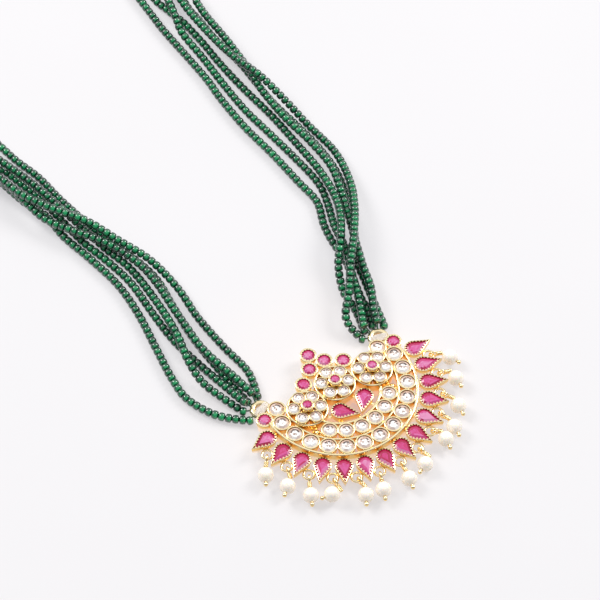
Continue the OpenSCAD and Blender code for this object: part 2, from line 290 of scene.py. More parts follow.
    @staticmethod
    def unite(parts: Sequence[Piece], name: str) -> Piece:
        """Joins parts into one named piece with its place in its mesh.

        Args:
            parts: the objects to join.
            name: the piece's name.

        Returns:
            The piece.
        """
        bpy.context.view_layer.update()
        Bench.take(*parts)
        if len(parts) > 1:
            bpy.ops.object.join()
        piece = Bench.settle(bpy.context.view_layer.objects.active)
        piece.name = name
        piece.data.name = name
        return piece

    @staticmethod
    def discard(*patterns: Piece) -> None:
        """Takes patterns off the bench once their copies are made."""
        for pattern in patterns:
            bpy.data.objects.remove(pattern)


def at(x: float, y: float, z: float = 0.0, turn: float = 0.0) -> Matrix:
    """A place on the pendant, from mm about the centre of its arcs and a turn in degrees."""
    where = (Vector((x, y, z)) + HOME) * MM
    return Matrix.Translation(where) @ Matrix.Rotation(math.radians(turn), 4, "Z")


def quarter_turn(axis: str) -> Matrix:
    """A turn by 90 degrees about an axis."""
    return Matrix.Rotation(math.pi / 2, 4, axis)


def on_arc(radius: float, degrees: float) -> Point:
    """A point on an arc about the pendant's centre, its angle taken from straight down."""
    turn = math.radians(degrees)
    return radius * math.sin(turn), -radius * math.cos(turn)


def either_side(point: Point) -> list[Point]:
    """A point of the right half and its mirror image, the left one first."""
    return [(side * point[0], point[1]) for side in Side]


def every_other(where: Vector, rays: int, shift: float = 0.0) -> bool:
    """Whether a point is on an even one of so many rays about the Z axis, with a shift in rays."""
    return round(math.atan2(where.y, where.x) / (math.tau / rays) + shift) % 2 == 0


def looks_up(face: bmesh.types.BMFace) -> bool:
    """Whether a face is level and looks up."""
    return face.normal.z > 0.9


def write_numbers(piece: Piece, name: str, domain: str, numbers: Sequence[float]) -> None:
    """Keeps one number for each point or face of a piece.

    Args:
        piece: the piece that gets the attribute.
        name: the attribute's name.
        domain: POINT or FACE.
        numbers: a number for each of them.
    """
    layer = piece.data.attributes.new(name, "FLOAT", domain)
    layer.data.foreach_set("value", list(numbers))


def hand_over(piece: Piece, material: bpy.types.Material, nodes: Sequence[str]) -> None:
    """Dresses a finished piece and fixes it to the frame.

    Args:
        piece: the finished piece.
        material: its finish.
        nodes: the CAD nodes that it stands for.
    """
    piece.data.materials.clear()
    piece.data.materials.append(material)
    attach(piece, "root")
    if nodes:
        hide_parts(*nodes)
    log.info("%s: %d faces", piece.name, len(piece.data.polygons))


# Shader arithmetic


@dataclass
class Signal:
    """A shader socket that takes part in Python arithmetic."""

    shop: "PaintShop"
    socket: bpy.types.NodeSocket

    def _sum(self, operation: str, first: "Signal | float", second: "Signal | float") -> "Signal":
        """Adds a Math node of two values and returns its result."""
        return self.shop.node("ShaderNodeMath", {"operation": operation}, {0: first, 1: second})

    def __add__(self, other: "Signal | float") -> "Signal":
        """Self plus other."""
        return self._sum("ADD", self, other)

    def __mul__(self, other: "Signal | float") -> "Signal":
        """Self times other."""
        return self._sum("MULTIPLY", self, other)

    def __sub__(self, other: "Signal | float") -> "Signal":
        """Self minus other."""
        return self._sum("SUBTRACT", self, other)

    def __rsub__(self, other: "Signal | float") -> "Signal":
        """Other minus self."""
        return self._sum("SUBTRACT", other, self)

    def __truediv__(self, other: "Signal | float") -> "Signal":
        """Self divided by other."""
        return self._sum("DIVIDE", self, other)

    def __pow__(self, other: "Signal | float") -> "Signal":
        """Self to the power of other."""
        return self._sum("POWER", self, other)

    def kept(self) -> "Signal":
        """The value kept between 0 and 1."""
        return self.shop.node("ShaderNodeClamp", {}, {0: self})


class PaintShop:
    """Makes the nodes of one material."""

    def __init__(self, name: str) -> None:
        """Starts an empty node material of that name.

        Args:
            name: the material's name.
        """
        self.material = bpy.data.materials.new(name)
        self.material.use_nodes = True
        self.tree = self.material.node_tree
        self.tree.nodes.clear()

    def node(self, kind: str, settings: dict, values: dict, out: int | str = 0) -> Signal:
        """Adds a node.

        Args:
            kind: the node's type.
            settings: properties of the node.
            values: numbers, colours or signals for its sockets, by index or name.
            out: the output wanted, by index or name.

        Returns:
            The output as a signal.
        """
        made = self.tree.nodes.new(kind)
        for key, value in settings.items():
            setattr(made, key, value)
        for key, value in values.items():
            if isinstance(value, Signal):
                self.tree.links.new(value.socket, made.inputs[key])
            else:
                made.inputs[key].default_value = value
        return Signal(self, made.outputs[out])

    def place(self) -> Signal:
        """Object coordinates."""
        return self.node("ShaderNodeTexCoord", {}, {}, "Object")

    def axis(self, vector: Signal, index: int) -> Signal:
        """The part of a vector along X, Y or Z, by index."""
        return self.node("ShaderNodeSeparateXYZ", {}, {0: vector}, index)

    def height(self) -> Signal:
        """Height above the surface that the necklace lies on."""
        return self.axis(self.place(), 2)

    def upward(self) -> Signal:
        """How far the surface faces up: 1 for level tops, 0 for walls, less for undersides."""
        return self.axis(self.node("ShaderNodeNewGeometry", {}, {}, "Normal"), 2)

    def distance(self, middle: Vector) -> Signal:
        """How far a place is from a point."""
        ends = {0: self.place(), 1: middle}
        return self.node("ShaderNodeVectorMath", {"operation": "DISTANCE"}, ends, "Value")

    def noise(self, scale: float, detail: float = 2.0) -> Signal:
        """Noise of about 0 to 1 over object coordinates, its grain 1 / scale metres."""
        return self.node("ShaderNodeTexNoise", {}, {"Vector": self.place(), "Scale": scale, "Detail": detail})

    def number(self, name: str) -> Signal:
        """A number kept on the piece's points or faces."""
        return self.node("ShaderNodeAttribute", {"attribute_name": name}, {}, "Fac")

    def ramp(self, factor: Signal, stops: Stops) -> Signal:
        """A colour ramp over a factor.

        Args:
            factor: the signal that runs along the ramp.
            stops: places and colours on it.

        Returns:
            The colour as a signal.
        """
        colour = self.node("ShaderNodeValToRGB", {}, {0: factor})
        elements = colour.socket.node.color_ramp.elements
        while len(elements) < len(stops):
            elements.new(1.0)
        for element, (place, tone) in zip(elements, stops):
            element.position = place
            element.color = (*tone, 1.0)
        return colour

    def blend(self, factor: Signal, first: Signal | Colour, second: Signal | Colour) -> Signal:
        """A mix of two colours."""
        return self.node("ShaderNodeMix", {"data_type": "RGBA"}, {0: factor, 6: first, 7: second}, 2)

    def bump(self, height: Signal, strength: float, depth: float) -> Signal:
        """A bump from a height signal, its depth in metres."""
        return self.node("ShaderNodeBump", {}, {"Height": height, "Strength": strength, "Distance": depth})

    def finish(self, **values: object) -> bpy.types.Material:
        """Adds the Principled shader and the output.

        Args:
            **values: its sockets' values, an underscore standing for a space.

        Returns:
            The finished material.
        """
        sockets = {name.replace("_", " "): value for name, value in values.items()}
        shader = self.node("ShaderNodeBsdfPrincipled", {}, sockets)
        output = self.tree.nodes.new("ShaderNodeOutputMaterial")
        self.tree.links.new(shader.socket, output.inputs[0])
        return self.material


def rgb(red: float, green: float, blue: float) -> Colour:
    """A colour with full alpha."""
    return red, green, blue, 1.0


# Finishes


@dataclass(frozen=True)
class Gilt:
    """Polished gilding with painted light: a painted pale highlight where it faces up, and painted deep
    orange shade on the walls down in the openwork.

    Attributes:
        low, high: the heights in mm between which the painted highlight on the metal brightens.
        mirror_top: below this height in mm the walls get a painted reflection of the pale floor.
        mirror_blur: the height in mm over which that begins.
        shade_glow, mirror_glow: painted glow standing in for the light that comes back from the walls, and
            from their feet.
    """

    name: str = "gilt"
    low: float = 1.2
    high: float = 4.0
    mirror_top: float = 0.0
    mirror_blur: float = 0.7
    gloss: float = 0.16
    painted_glow: float = 0.1
    # pale is the painted highlight of the tops, deep the painted orange shade of the walls
    pale: Colour = rgb(1.0, 0.86, 0.53)
    deep: Colour = rgb(0.9, 0.56, 0.13)
    # painted reflection of the pale floor on the feet of the walls
    painted_floor_reflection: Colour = rgb(0.97, 0.8, 0.64)
    # painted glow in place of the light bounced between the walls, and from the floor at their feet
    shade_glow: Colour = rgb(1.1, 0.52, 0.06)
    mirror_glow: Colour = rgb(1.5, 1.08, 0.7)

    def make(self) -> bpy.types.Material:
        """Makes the material.

        Returns:
            The material.
        """
        shop = PaintShop(self.name)
        # rise and upward mask the painted light: higher and level faces are painted lighter
        rise = ((shop.height() - self.low * MM) / ((self.high - self.low) * MM)).kept()
        upward = (shop.upward() * 1.3).kept()
        worn = shop.noise(900.0, 3.0)
        # below and foot mask the painted reflection of the pale floor low on the walls
        below = (self.mirror_top * MM - shop.height()) / (self.mirror_blur * MM)
        foot = (below + worn * 0.4 - 0.2).kept()
        wall = shop.blend(foot, self.deep, self.painted_floor_reflection)
        painted_glow_colour = shop.blend(foot, self.shade_glow, self.mirror_glow)
        return shop.finish(
            Base_Color=shop.blend((upward * 0.72 + rise * 0.35 + worn * 0.3 - 0.15).kept(), wall, self.pale),
            Metallic=1.0,
            Roughness=worn * 0.16 + (self.gloss - 0.06),
            Normal=shop.bump(shop.noise(5200.0), 0.25, 0.00006),
            # Emission: a painted glow for the light bounced between the walls, strongest low down
            Emission_Color=shop.blend((rise + upward * 0.6).kept(), painted_glow_colour, rgb(0.0, 0.0, 0.0)),
            Emission_Strength=self.painted_glow,
        )


@dataclass(frozen=True)
class FoiledGlass:
    """Foiled glass of cut stones, its colour taken from the tone of each facet, which is painted reflection
    and shade.

    Attributes:
        stops: the colours from the darkest tone to the lightest.
        grain, detail, spread: scale, detail and strength of the streaks in a facet.
        gloss, dulled: the roughness, and how much the streaks add to it.
    """

    name: str
    stops: Stops
    grain: float
    detail: float
    spread: float
    gloss: float
    dulled: float
    coat: float
    coat_gloss: float
    ior: float

    def make(self) -> bpy.types.Material:
        """Makes the material.

        Returns:
            The material.
        """
        shop = PaintShop(self.name)
        streak = shop.noise(self.grain, self.detail)
        # tone: each facet's painted reflection and shade, with random streaks
        tone = (shop.number("tone") + (streak - 0.5) * self.spread).kept()
        return shop.finish(
            Base_Color=shop.ramp(tone, self.stops),
            Roughness=streak * self.dulled + self.gloss,
            Metallic=0.0,
            Coat_Weight=self.coat,
            Coat_Roughness=self.coat_gloss,
            IOR=self.ior,
        )


# Crimson edges, magenta and pale pink facets: painted reflection and shade on the red stones
RED_GLASS = FoiledGlass(
    name="red_stone",
    stops=(
        (0.0, (0.3, 0.006, 0.04)),
        (0.25, (0.46, 0.014, 0.09)),
        (0.5, (0.56, 0.035, 0.18)),
        (0.75, (0.62, 0.095, 0.32)),
        (1.0, (0.68, 0.26, 0.46)),
    ),
    grain=1700.0,
    detail=3.0,
    spread=0.3,
    gloss=0.05,
    dulled=0.1,
    coat=0.35,
    coat_gloss=0.03,
    ior=1.5,
)

# White, with beige and grey facets: painted reflection and shade on the clear stones
CLEAR_GLASS = FoiledGlass(
    name="clear_stone",
    stops=(
        (0.0, (0.07, 0.05, 0.05)),
        (0.3, (0.36, 0.24, 0.19)),
        (0.55, (0.66, 0.47, 0.39)),
        (0.8, (0.88, 0.8, 0.79)),
        (1.0, (1.0, 1.0, 1.0)),
    ),
    grain=2600.0,
    detail=2.0,
    spread=0.22,
    gloss=0.04,
    dulled=0.08,
    coat=1.0,
    coat_gloss=0.02,
    ior=1.6,
)


@dataclass(frozen=True)
class PearlLustre:
    """Cream pearl with a soft, slightly shifting lustre, and painted light: lighter on its upper side,
    painted shade on its sides and a faint painted glow.
    """

    name: str = "pearl_lustre"
    shade: Colour = rgb(0.7, 0.6, 0.47)
    cream: Colour = rgb(0.93, 0.88, 0.8)

    def make(self) -> bpy.types.Material:
        """Makes the material.

        Returns:
            The material.
        """
        shop = PaintShop(self.name)
        cloud = shop.noise(420.0)
        # crown masks the painted shade: the upper side painted lighter, the sides darker
        crown = (shop.upward() * 1.25 + cloud * 0.3 - 0.2).kept()
        return shop.finish(
            Base_Color=shop.blend(crown, self.shade, self.cream),
            Roughness=cloud * 0.06 + 0.2,
            Metallic=0.0,
            Subsurface_Weight=0.4,
            Subsurface_Radius=(1.0, 0.75, 0.5),
            Subsurface_Scale=0.0012,
            Coat_Weight=1.0,
            Coat_Roughness=0.06,
            Coat_IOR=1.8,
            IOR=1.5,
            # a faint painted warm glow over the whole pearl
            Emission_Color=rgb(1.0, 0.92, 0.81),
            Emission_Strength=0.2,
        )


@dataclass(frozen=True)
class BeadGlass:
    """Emerald seed bead glass, with painted light: a painted glow on the side where light gathers in each
    bead, and painted dark shade on the rest.
    """

    name: str = "bead_glass"
    stops: Stops = (
        (0.0, (0.002, 0.014, 0.011)),
        (0.3, (0.002, 0.05, 0.026)),
        (0.6, (0.003, 0.17, 0.062)),
        (1.0, (0.008, 0.42, 0.14)),
    )

    def make(self) -> bpy.types.Material:
        """Makes the material.

        Returns:
            The material.
        """
        shop = PaintShop(self.name)
        mood = shop.number("mood")
        swirl = shop.noise(650.0, 1.0)
        # Painted light: the painted glow lightens one side of each bead, and the dark end of the ramp is
        # painted shade; mood and swirl vary it at random
        tone = (shop.number("painted_glow") ** 3.0 * 1.05 + mood * 0.36 + swirl * 0.24 - 0.22).kept()
        return shop.finish(
            Base_Color=shop.ramp(tone, self.stops),
            Roughness=mood * 0.05 + 0.06,
            Metallic=0.0,
            Specular_IOR_Level=0.3,
            Coat_Weight=1.0,
            Coat_Roughness=0.05,
            Coat_IOR=1.65,
            IOR=1.5,
        )


@dataclass(frozen=True)
class Thread:
    """Waxed thread with a fine twist in it."""

    name: str = "stringing_thread"
    dark: Colour = rgb(0.01, 0.07, 0.035)
    light: Colour = rgb(0.03, 0.16, 0.08)

    def make(self) -> bpy.types.Material:
        """Makes the material.

        Returns:
            The material.
        """
        shop = PaintShop(self.name)
        ply = shop.noise(4200.0, 3.0)
        return shop.finish(
            Base_Color=shop.blend(ply, self.dark, self.light),
            Roughness=ply * 0.2 + 0.55,
            Normal=shop.bump(ply, 0.5, 0.00008),
        )


@dataclass(frozen=True)
class PaleFloor:
    """Plain pale surface, with painted light: a faint painted warm shade under the pendant and a fainter
    painted warm bounce light round it.

    Attributes:
        halo_r, halo_blur: radius of the painted warm light round the pendant, and how softly it ends.
        inner_r, inner_blur: the same of the painted warm shade under the openwork.
        inner_top, top_blur: where that painted shade ends above the centre of the arcs, in mm, and how
            softly.
    """

    name: str = "pale_floor"
    dim: Colour = rgb(0.352, 0.349, 0.359)
    light: Colour = rgb(0.36, 0.357, 0.367)
    painted_warm_light: Colour = rgb(0.369, 0.3585, 0.3625)
    inner: Colour = rgb(0.375, 0.27, 0.235)
    halo_r: float = 0.044
    halo_blur: float = 0.018
    inner_r: float = 0.0198
    inner_blur: float = 0.002
    inner_top: float = 2.5
    top_blur: float = 0.003

    def make(self) -> bpy.types.Material:
        """Makes the material.

        Returns:
            The material.
        """
        shop = PaintShop(self.name)
        plain = shop.blend(shop.noise(14.0), self.dim, self.light)
        reach = shop.distance(HOME * MM)
        # a faint painted pool of warm light bounced from the gilt, round the pendant
        plain = shop.blend(((self.halo_r - reach) / self.halo_blur).kept(), plain, self.painted_warm_light)
        below = ((HOME.y + self.inner_top) * MM - shop.axis(shop.place(), 1)) / self.top_blur
        # painted warm shade under the openwork, where the floor is seen between the walls
        near = ((self.inner_r - reach) / self.inner_blur).kept() * below.kept()
        colour = shop.blend(near, plain, self.inner)
        return shop.finish(
            Base_Color=colour,
            Roughness=0.75,
            Specular_IOR_Level=0.2,
            Emission_Color=colour,
            Emission_Strength=1.38,
        )


# Gilt work


@dataclass(frozen=True)
class Collet:
    """A round cup setting with a rubbed-over rim, about the origin.

    Attributes:
        radius: outer radius.
        bore: radius of the seat.
        height: height above the back.
        sides: sides of its round.
        bite: where every other corner of the rim is pushed to, over the stone, as a share of the bore.
        foot: radius of its foot, as a share of the outer radius.
        seat: depth of the seat, as a share of the bore.
        soften: width of the rounding of its rim.
        lift: how far the pushed corners rise.
        table: how far a stone's table lies above it.
    """

    radius: float
    bore: float
    height: float
    sides: int = 26
    bite: float = 1.0
    foot: float = 0.8
    seat: float = 0.55
    soften: float = 0.2
    lift: float = 0.1
    table: float = 0.2

    def on_top(self, corner: bmesh.types.BMVert) -> bool:
        """Whether a corner is level with the top."""
        return abs(corner.co.z - self.height * MM) < NEAR

    def on_rim(self, edge: bmesh.types.BMEdge) -> bool:
        """Whether an edge runs round the outside of the top."""
        return all(self.on_top(v) and v.co.xy.length > self.radius * 0.98 * MM for v in edge.verts)

    def bites(self, corner: bmesh.types.BMVert) -> bool:
        """Whether a corner of the seat's edge is one that is pushed over the stone."""
        at_bore = abs(corner.co.xy.length - self.bore * MM) < 0.03 * MM
        return self.on_top(corner) and at_bore and every_other(corner.co, self.sides, 0.25)

    def make(self) -> Piece:
        """Models the setting.

        Returns:
            The piece about the origin.
        """
        piece = Bench.cylinder(self.radius, self.height, self.sides)
        Bench.open(piece)
        Bench.pick(Part.CORNER, lambda v: v.co.z < self.height * MM / 2)
        Bench.scale((self.foot, self.foot, 1))
        Bench.pick(Part.FACE, looks_up)
        bpy.ops.mesh.inset(thickness=(self.radius - self.bore) * MM)
        Bench.sink(self.seat * self.bore)
        Bench.pick(Part.EDGE, self.on_rim)
        bpy.ops.mesh.bevel(offset=self.soften * MM, segments=3, profile=0.5)
        if self.bite < 1:
            Bench.pick(Part.CORNER, self.bites)
            Bench.scale((self.bite, self.bite, 1), (0, 0, self.height))
            bpy.ops.transform.translate(value=(0, 0, self.lift * MM))
        Bench.close()
        return Bench.smooth(piece)


@dataclass(frozen=True)
class PearSetting:
    """A pear cup whose rim is cut into fine teeth over the stone, its head about the origin, its tip to -Y.

    Attributes:
        height: height above the back.
        head: radius of the round head.
        tip: reach of the tip.
        sides: corners of its outline.
        heart: how far its middle lies from the head's, toward the tip.
        cup: height of the cup, above its narrower foot.
        rim: width of the rim.
        seat: depth of the seat.
        soften: width of the rounding of its outer edge.
        lean: how far a tooth leans in.
        rise: how far a tooth rises.
        bare: length of the tip that has no teeth.
    """

    height: float
    head: float = 2.33
    tip: float = 5.15
    sides: int = 66
    heart: float = 0.8
    cup: float = 1.9
    rim: float = 0.2
    seat: float = 1.5
    soften: float = 0.18
    lean: float = 0.42
    rise: float = 0.16
    bare: float = 0.9

    def outline(self, share: float) -> Vector:
        """The point of the outline's right half at a share of its way from the tip to the top.

        Args:
            share: 0 at the tip, 1 at the top of the head.

        Returns:
            The point in mm.
        """
        flank = math.sqrt(self.tip ** 2 - self.head ** 2)
        flat = math.acos(self.head / self.tip)
        way = share * (flank + self.head * (math.pi - flat))
        if way < flank:
            foot = Vector((math.sin(flat), -math.cos(flat))) * self.head
            return Vector((0.0, -self.tip)).lerp(foot, way / flank)
        lean = flat + (way - flank) / self.head
        return Vector((math.sin(lean), -math.cos(lean))) * self.head

    def stretch(self) -> None:
        """Moves the corners of the open cylinder out to the pear's outline."""
        corners = Bench.corners(lambda v: True)
        for corner in [place.xy for _, place in corners if place.z > self.height * MM / 2]:
            goal = self.outline(abs(math.atan2(corner.x, -corner.y)) / math.pi)
            goal.x = math.copysign(goal.x, corner.x)
            move = goal * MM - corner
            column = {index for index, place in corners if (place.xy - corner).length < NEAR}
            Bench.pick(Part.CORNER, lambda v: v.index in column)
            bpy.ops.transform.translate(value=(move.x, move.y, 0))

    def taper(self) -> None:
        """Draws in the foot of the open cup, and its waist a little."""
        top = self.height * MM
        Bench.pick_all()
        bpy.ops.mesh.bisect(plane_co=(0, 0, top - self.cup * MM), plane_no=(0, 0, 1))
        Bench.pick(Part.CORNER, lambda v: v.co.z < 0.2 * MM)
        Bench.scale((0.62, 0.58, 1), (0, -0.3, 0))
        Bench.pick(Part.CORNER, lambda v: 0.2 * MM < v.co.z < top - 0.2 * MM)
        Bench.scale((0.93, 0.93, 1), (0, -0.6, 0))

    def raise_teeth(self, rim: list[Vector]) -> None:
        """Bends every third corner of the rim in over the stone, but for those at the tip.

        Args:
            rim: the places of the corners of the rim's inner edge.
        """
        heart = Vector((0, -self.heart * MM, self.height * MM))
        rim.sort(key=lambda c: math.atan2(c.x, -(c.y + self.heart * MM)))
        for before, tooth, after in zip(rim[-1:] + rim[2::3], rim[::3], rim[1::3]):
            if tooth.y < (self.bare - self.tip) * MM:
                continue
            way = Vector((before.y - after.y, after.x - before.x, 0)).normalized()
            way = way if way.dot(heart - tooth) > 0 else -way
            Bench.pick(Part.CORNER, lambda v: (v.co - tooth).length < 10 * NEAR)
            bpy.ops.transform.translate(value=way * self.lean * MM + Vector((0, 0, self.rise * MM)))

    def make(self) -> Piece:
        """Models the setting.

        Returns:
            The piece about the origin.
        """
        piece = Bench.cylinder(self.head, self.height, self.sides)
        Bench.open(piece)
        self.stretch()
        self.taper()
        Bench.pick(Part.FACE, looks_up)
        bpy.ops.mesh.inset(thickness=self.rim * MM)
        rim = [place for _, place in Bench.corners(lambda v: v.select)]
        Bench.sink(self.seat)

        def outside(corner: bmesh.types.BMVert) -> bool:
            """Whether a corner is on the top's outer edge."""
            on_top = abs(corner.co.z - self.height * MM) < NEAR
            return on_top and all((corner.co - place).length > 10 * NEAR for place in rim)

        Bench.pick(Part.EDGE, lambda e: all(outside(v) for v in e.verts))
        bpy.ops.mesh.bevel(offset=self.soften * MM, segments=3, profile=0.5)
        self.raise_teeth(rim)
        Bench.close()
        return Bench.smooth(piece, 32)


@dataclass(frozen=True)
class Rail:
    """A curved wall with a rounded top about the origin, its middle toward -Y.

    Attributes:
        radius: radius to the middle of the wall.
        thick: its thickness.
        height: its height above the back.
        reach: degrees it reaches each way from straight down; 180 is a whole ring.
        steps: steps of the spin.
        soften: the rounding of its top, as a share of the thickness.
    """

    radius: float
    thick: float
    height: float
    reach: float
    steps: int
    soften: float = 0.36

    def make(self) -> Piece:
        """Spins the wall from its section.

        Returns:
            The piece about the origin.
        """
        middle = (self.radius, 0, self.height / 2)
        upright = (math.pi / 2, 0, 0)
        bpy.ops.mesh.primitive_plane_add(size=MM, location=[c * MM for c in middle], rotation=upright)
        piece = Bench.settle(bpy.context.object)
        Bench.open(piece)
        Bench.pick_all()
        Bench.scale((self.thick, 1, self.height), middle)
        Bench.pick(Part.CORNER, lambda v: v.co.z > self.height * MM * 0.9)
        bpy.ops.mesh.bevel(offset=self.thick * self.soften * MM, segments=3, affect="VERTICES")
        bpy.ops.mesh.select_mode(type="EDGE")
        Bench.pick_all()
        if self.reach == 180:
            bpy.ops.mesh.delete(type="ONLY_FACE")
            Bench.pick_all()
        sweep = math.radians(2 * self.reach)
        bpy.ops.mesh.spin(steps=self.steps, angle=sweep, center=(0, 0, 0), axis=(0, 0, 1))
        Bench.outward()
        Bench.close()
        piece.rotation_euler = (0, 0, math.radians(-90 + self.reach))
        return Bench.smooth(Bench.settle(piece))


@dataclass(frozen=True)
class RidgedRing:
    """A ring of wire wound with a fine ridge, about the origin.

    Attributes:
        bend: radius to the middle of the wire.
        wire: radius of the wire.
        around: segments round the ring.
        across: segments round the wire.
        ridge: how far every other segment stands out.
    """

    bend: float
    wire: float
    around: int
    across: int
    ridge: float

    def make(self) -> Piece:
        """Models the ring.

        Returns:
            The piece about the origin.
        """
        piece = Bench.hoop(self.bend, self.wire, self.around, self.across)
        Bench.open(piece)
        Bench.pick(Part.CORNER, lambda v: every_other(v.co, self.around))
        bpy.ops.transform.shrink_fatten(value=self.ridge * MM)
        Bench.close()
        return Bench.smooth(piece, 60)


@dataclass(frozen=True)
class Granule:
    """A granule on its short post, about the origin.

    Attributes:
        post_r: radius of the post.
        post_h: height of the post.
        soften: width of the rounding of its top.
        radius: radius of the granule.
        level: height of its middle.
    """

    post_r: float = 1.35
    post_h: float = 2.3
    soften: float = 0.35
    radius: float = 0.8
    level: float = 2.6

    def make(self) -> Piece:
        """Models the granule and its post.

        Returns:
            The piece about the origin.
        """
        post = Bench.cylinder(self.post_r, self.post_h, 20)
        Bench.open(post)
        Bench.pick(Part.FACE, looks_up)
        bpy.ops.mesh.bevel(offset=self.soften * MM, segments=3)
        Bench.close()
        bpy.ops.mesh.primitive_uv_sphere_add(
            segments=16, ring_count=10, radius=self.radius * MM, location=(0, 0, self.level * MM)
        )
        return Bench.smooth(Bench.unite([post, bpy.context.object], "granule"))


@dataclass(frozen=True)
class SolderBar:
    """A solder bar between two points, with softened edges."""

    start: Point
    end: Point
    wide: float = 1.2
    high: float = 2.0
    soften: float = 0.2

    def make(self) -> Piece:
        """Models the bar in its place.

        Returns:
            The bar in its place.
        """
        span = Vector(self.end) - Vector(self.start)
        middle = (span.length / 2, 0, self.high / 2)
        bpy.ops.mesh.primitive_cube_add(size=MM, location=[c * MM for c in middle])
        piece = Bench.settle(bpy.context.object)
        Bench.open(piece)
        Bench.pick_all()
        Bench.scale((span.length, self.wide, self.high), middle)
        bpy.ops.mesh.bevel(offset=self.soften * MM, segments=2)
        Bench.close()
        piece.matrix_world = at(*self.start, 0.0, math.degrees(math.atan2(span.y, span.x)))
        return Bench.smooth(piece)


@dataclass
class GiltWork:
    """All the soldered metal of the pendant.

    Places are x and y about the centre of its arcs, those off the axis for the right half.

    Attributes:
        outer_r, inner_r, fringe_r, ring_r: radii of the two rows, the pear settings and the rings.
        outer_step, inner_step, fringe_step: degrees from one to the next; the rings share the fringe's.
        flowers: for each flower its middle and the angle of its first petal.
        tops: the round settings at the top, from the peak down.
        centre_rise: how much higher the two pear settings in the middle are.
    """

    outer_r: float = 17.43
    outer_step: float = 14.78
    inner_r: float = 12.85
    inner_step: float = 18.3
    fringe_r: float = 22.75
    fringe_step: float = 13.23
    ring_r: float = 25.45
    ring_level: float = 2.0
    petal_r: float = 3.35
    flowers: Sequence[Triple] = ((0, 1.1, 92), (-10.05, -0.9, 92.5), (10.05, -0.9, 87.5))
    tops: Sequence[Point] = ((0, 12.1), (-2.3, 8.5), (2.3, 8.5), (-6.2, 5.75), (6.2, 5.75))
    end_white: Point = (15.7, 4.1)
    end_ruby: Point = (20.05, 3.2)
    granule: Point = (11.65, -7.2)
    centre_pear: Point = (3.75, -6.05)
    centre_turn: float = 44.0
    centre_rise: float = 0.8
    pear_h: float = 3.6
    outer_collet: Collet = Collet(2.3, 1.9, 4.3)
    inner_collet: Collet = Collet(2.2, 1.75, 4.3)
    petal_collet: Collet = Collet(1.775, 1.475, 5.3, 22)
    flower_collet: Collet = Collet(1.7, 1.3, 6.4, 22, 0.84)
    top_collet: Collet = Collet(2.2, 1.78, 3.9, 28, 0.84)
    end_white_collet: Collet = Collet(2.35, 1.9, 3.4)
    end_ruby_collet: Collet = Collet(2.2, 1.78, 3.4, 28, 0.84)
    flower_rim: Rail = Rail(4.95, 0.6, 4.7, 180, 56)
    rails: Sequence[Rail] = (
        Rail(19.85, 0.7, 4.2, 94, 110),
        Rail(15.25, 0.6, 4.1, 79, 80),
        Rail(10.64, 0.7, 4.1, 57.3, 50),
    )

    def outer_at(self, k: float) -> Point:
        """Where the k-th stone of the outer row sits."""
        return on_arc(self.outer_r, (k - 6) * self.outer_step)

    def inner_at(self, k: float) -> Point:
        """Where the k-th stone of the inner row sits."""
        return on_arc(self.inner_r, (k - 2.5) * self.inner_step)

    def ring_at(self, k: int) -> Point:
        """Where the k-th small ring sits."""
        return on_arc(self.ring_r, (k - 7) * self.fringe_step)

    def petals(self) -> list[Point]:
        """Where the six petals of every flower sit.

        Returns:
            Six points for each flower.
        """
        found = []
        for x, y, first in self.flowers:
            for k in range(6):
                turn = math.radians(first + 60 * k)
                found.append((x + self.petal_r * math.cos(turn), y + self.petal_r * math.sin(turn)))
        return found

    def fringe_turn(self, k: int) -> float:
        """The angle of the k-th pear setting, from straight down."""
        return (k - 7.5) * self.fringe_step

    def fringe_at(self, k: int, lift: float = 0.0) -> Matrix:
        """The place of the k-th pear setting, its head on the arc and its tip outward."""
        turn = self.fringe_turn(k)
        return at(*on_arc(self.fringe_r, turn), lift, turn)

    def centre_at(self, side: Side, lift: float = 0.0) -> Matrix:
        """The place of a pear setting in the middle."""
        return at(side * self.centre_pear[0], self.centre_pear[1], lift, -side * self.centre_turn)

    def bars(self) -> list[SolderBar]:
        """All the solder bars.

        Returns:
            The bars, from the top down and from left to right.
        """
        _, left, right, low_left, low_right = self.tops
        found = [SolderBar(left, right), SolderBar(left, low_left), SolderBar(right, low_right)]
        found.append(SolderBar((0, -8.8), (0, -10.6), 1.0))
        for s in Side:
            pear = (s * self.centre_pear[0], self.centre_pear[1])
            white = (s * self.end_white[0], self.end_white[1])
            ruby = (s * self.end_ruby[0], self.end_ruby[1])
            low = (s * 6.2, 5.75)
            found += [
                SolderBar((s * 1.0, 4.5), (s * 2.3, 8.5)),
                SolderBar((s * 4.3, 2.9), low),
                SolderBar(low, (s * 8.7, 1.9)),
                SolderBar((s * 1.5, -1.8), pear),
                SolderBar(pear, (s * 7.4, -3.9)),
                SolderBar(pear, (s * 5.6, -9.1)),
                SolderBar(white, ruby, 1.4),
                SolderBar(white, self.outer_at(6 + 6 * s), 1.4),
            ]
        for k in range(1, 15):
            turn = self.fringe_turn(k)
            found.append(SolderBar(on_arc(19.8, turn), on_arc(21.2, turn), 1.4))
        return found

    def build(self) -> Piece:
        """Models every setting, rail and ring once, and sets the copies in their places.

        Returns:
            The whole gilt work as one piece.
        """
        parts: list[Piece] = []

        def lay(pattern: Piece, places: Sequence[Matrix]) -> None:
            """Sets copies of a pattern in their places, and takes it off the bench."""
            parts.extend(Bench.copy(pattern, place) for place in places)
            Bench.discard(pattern)

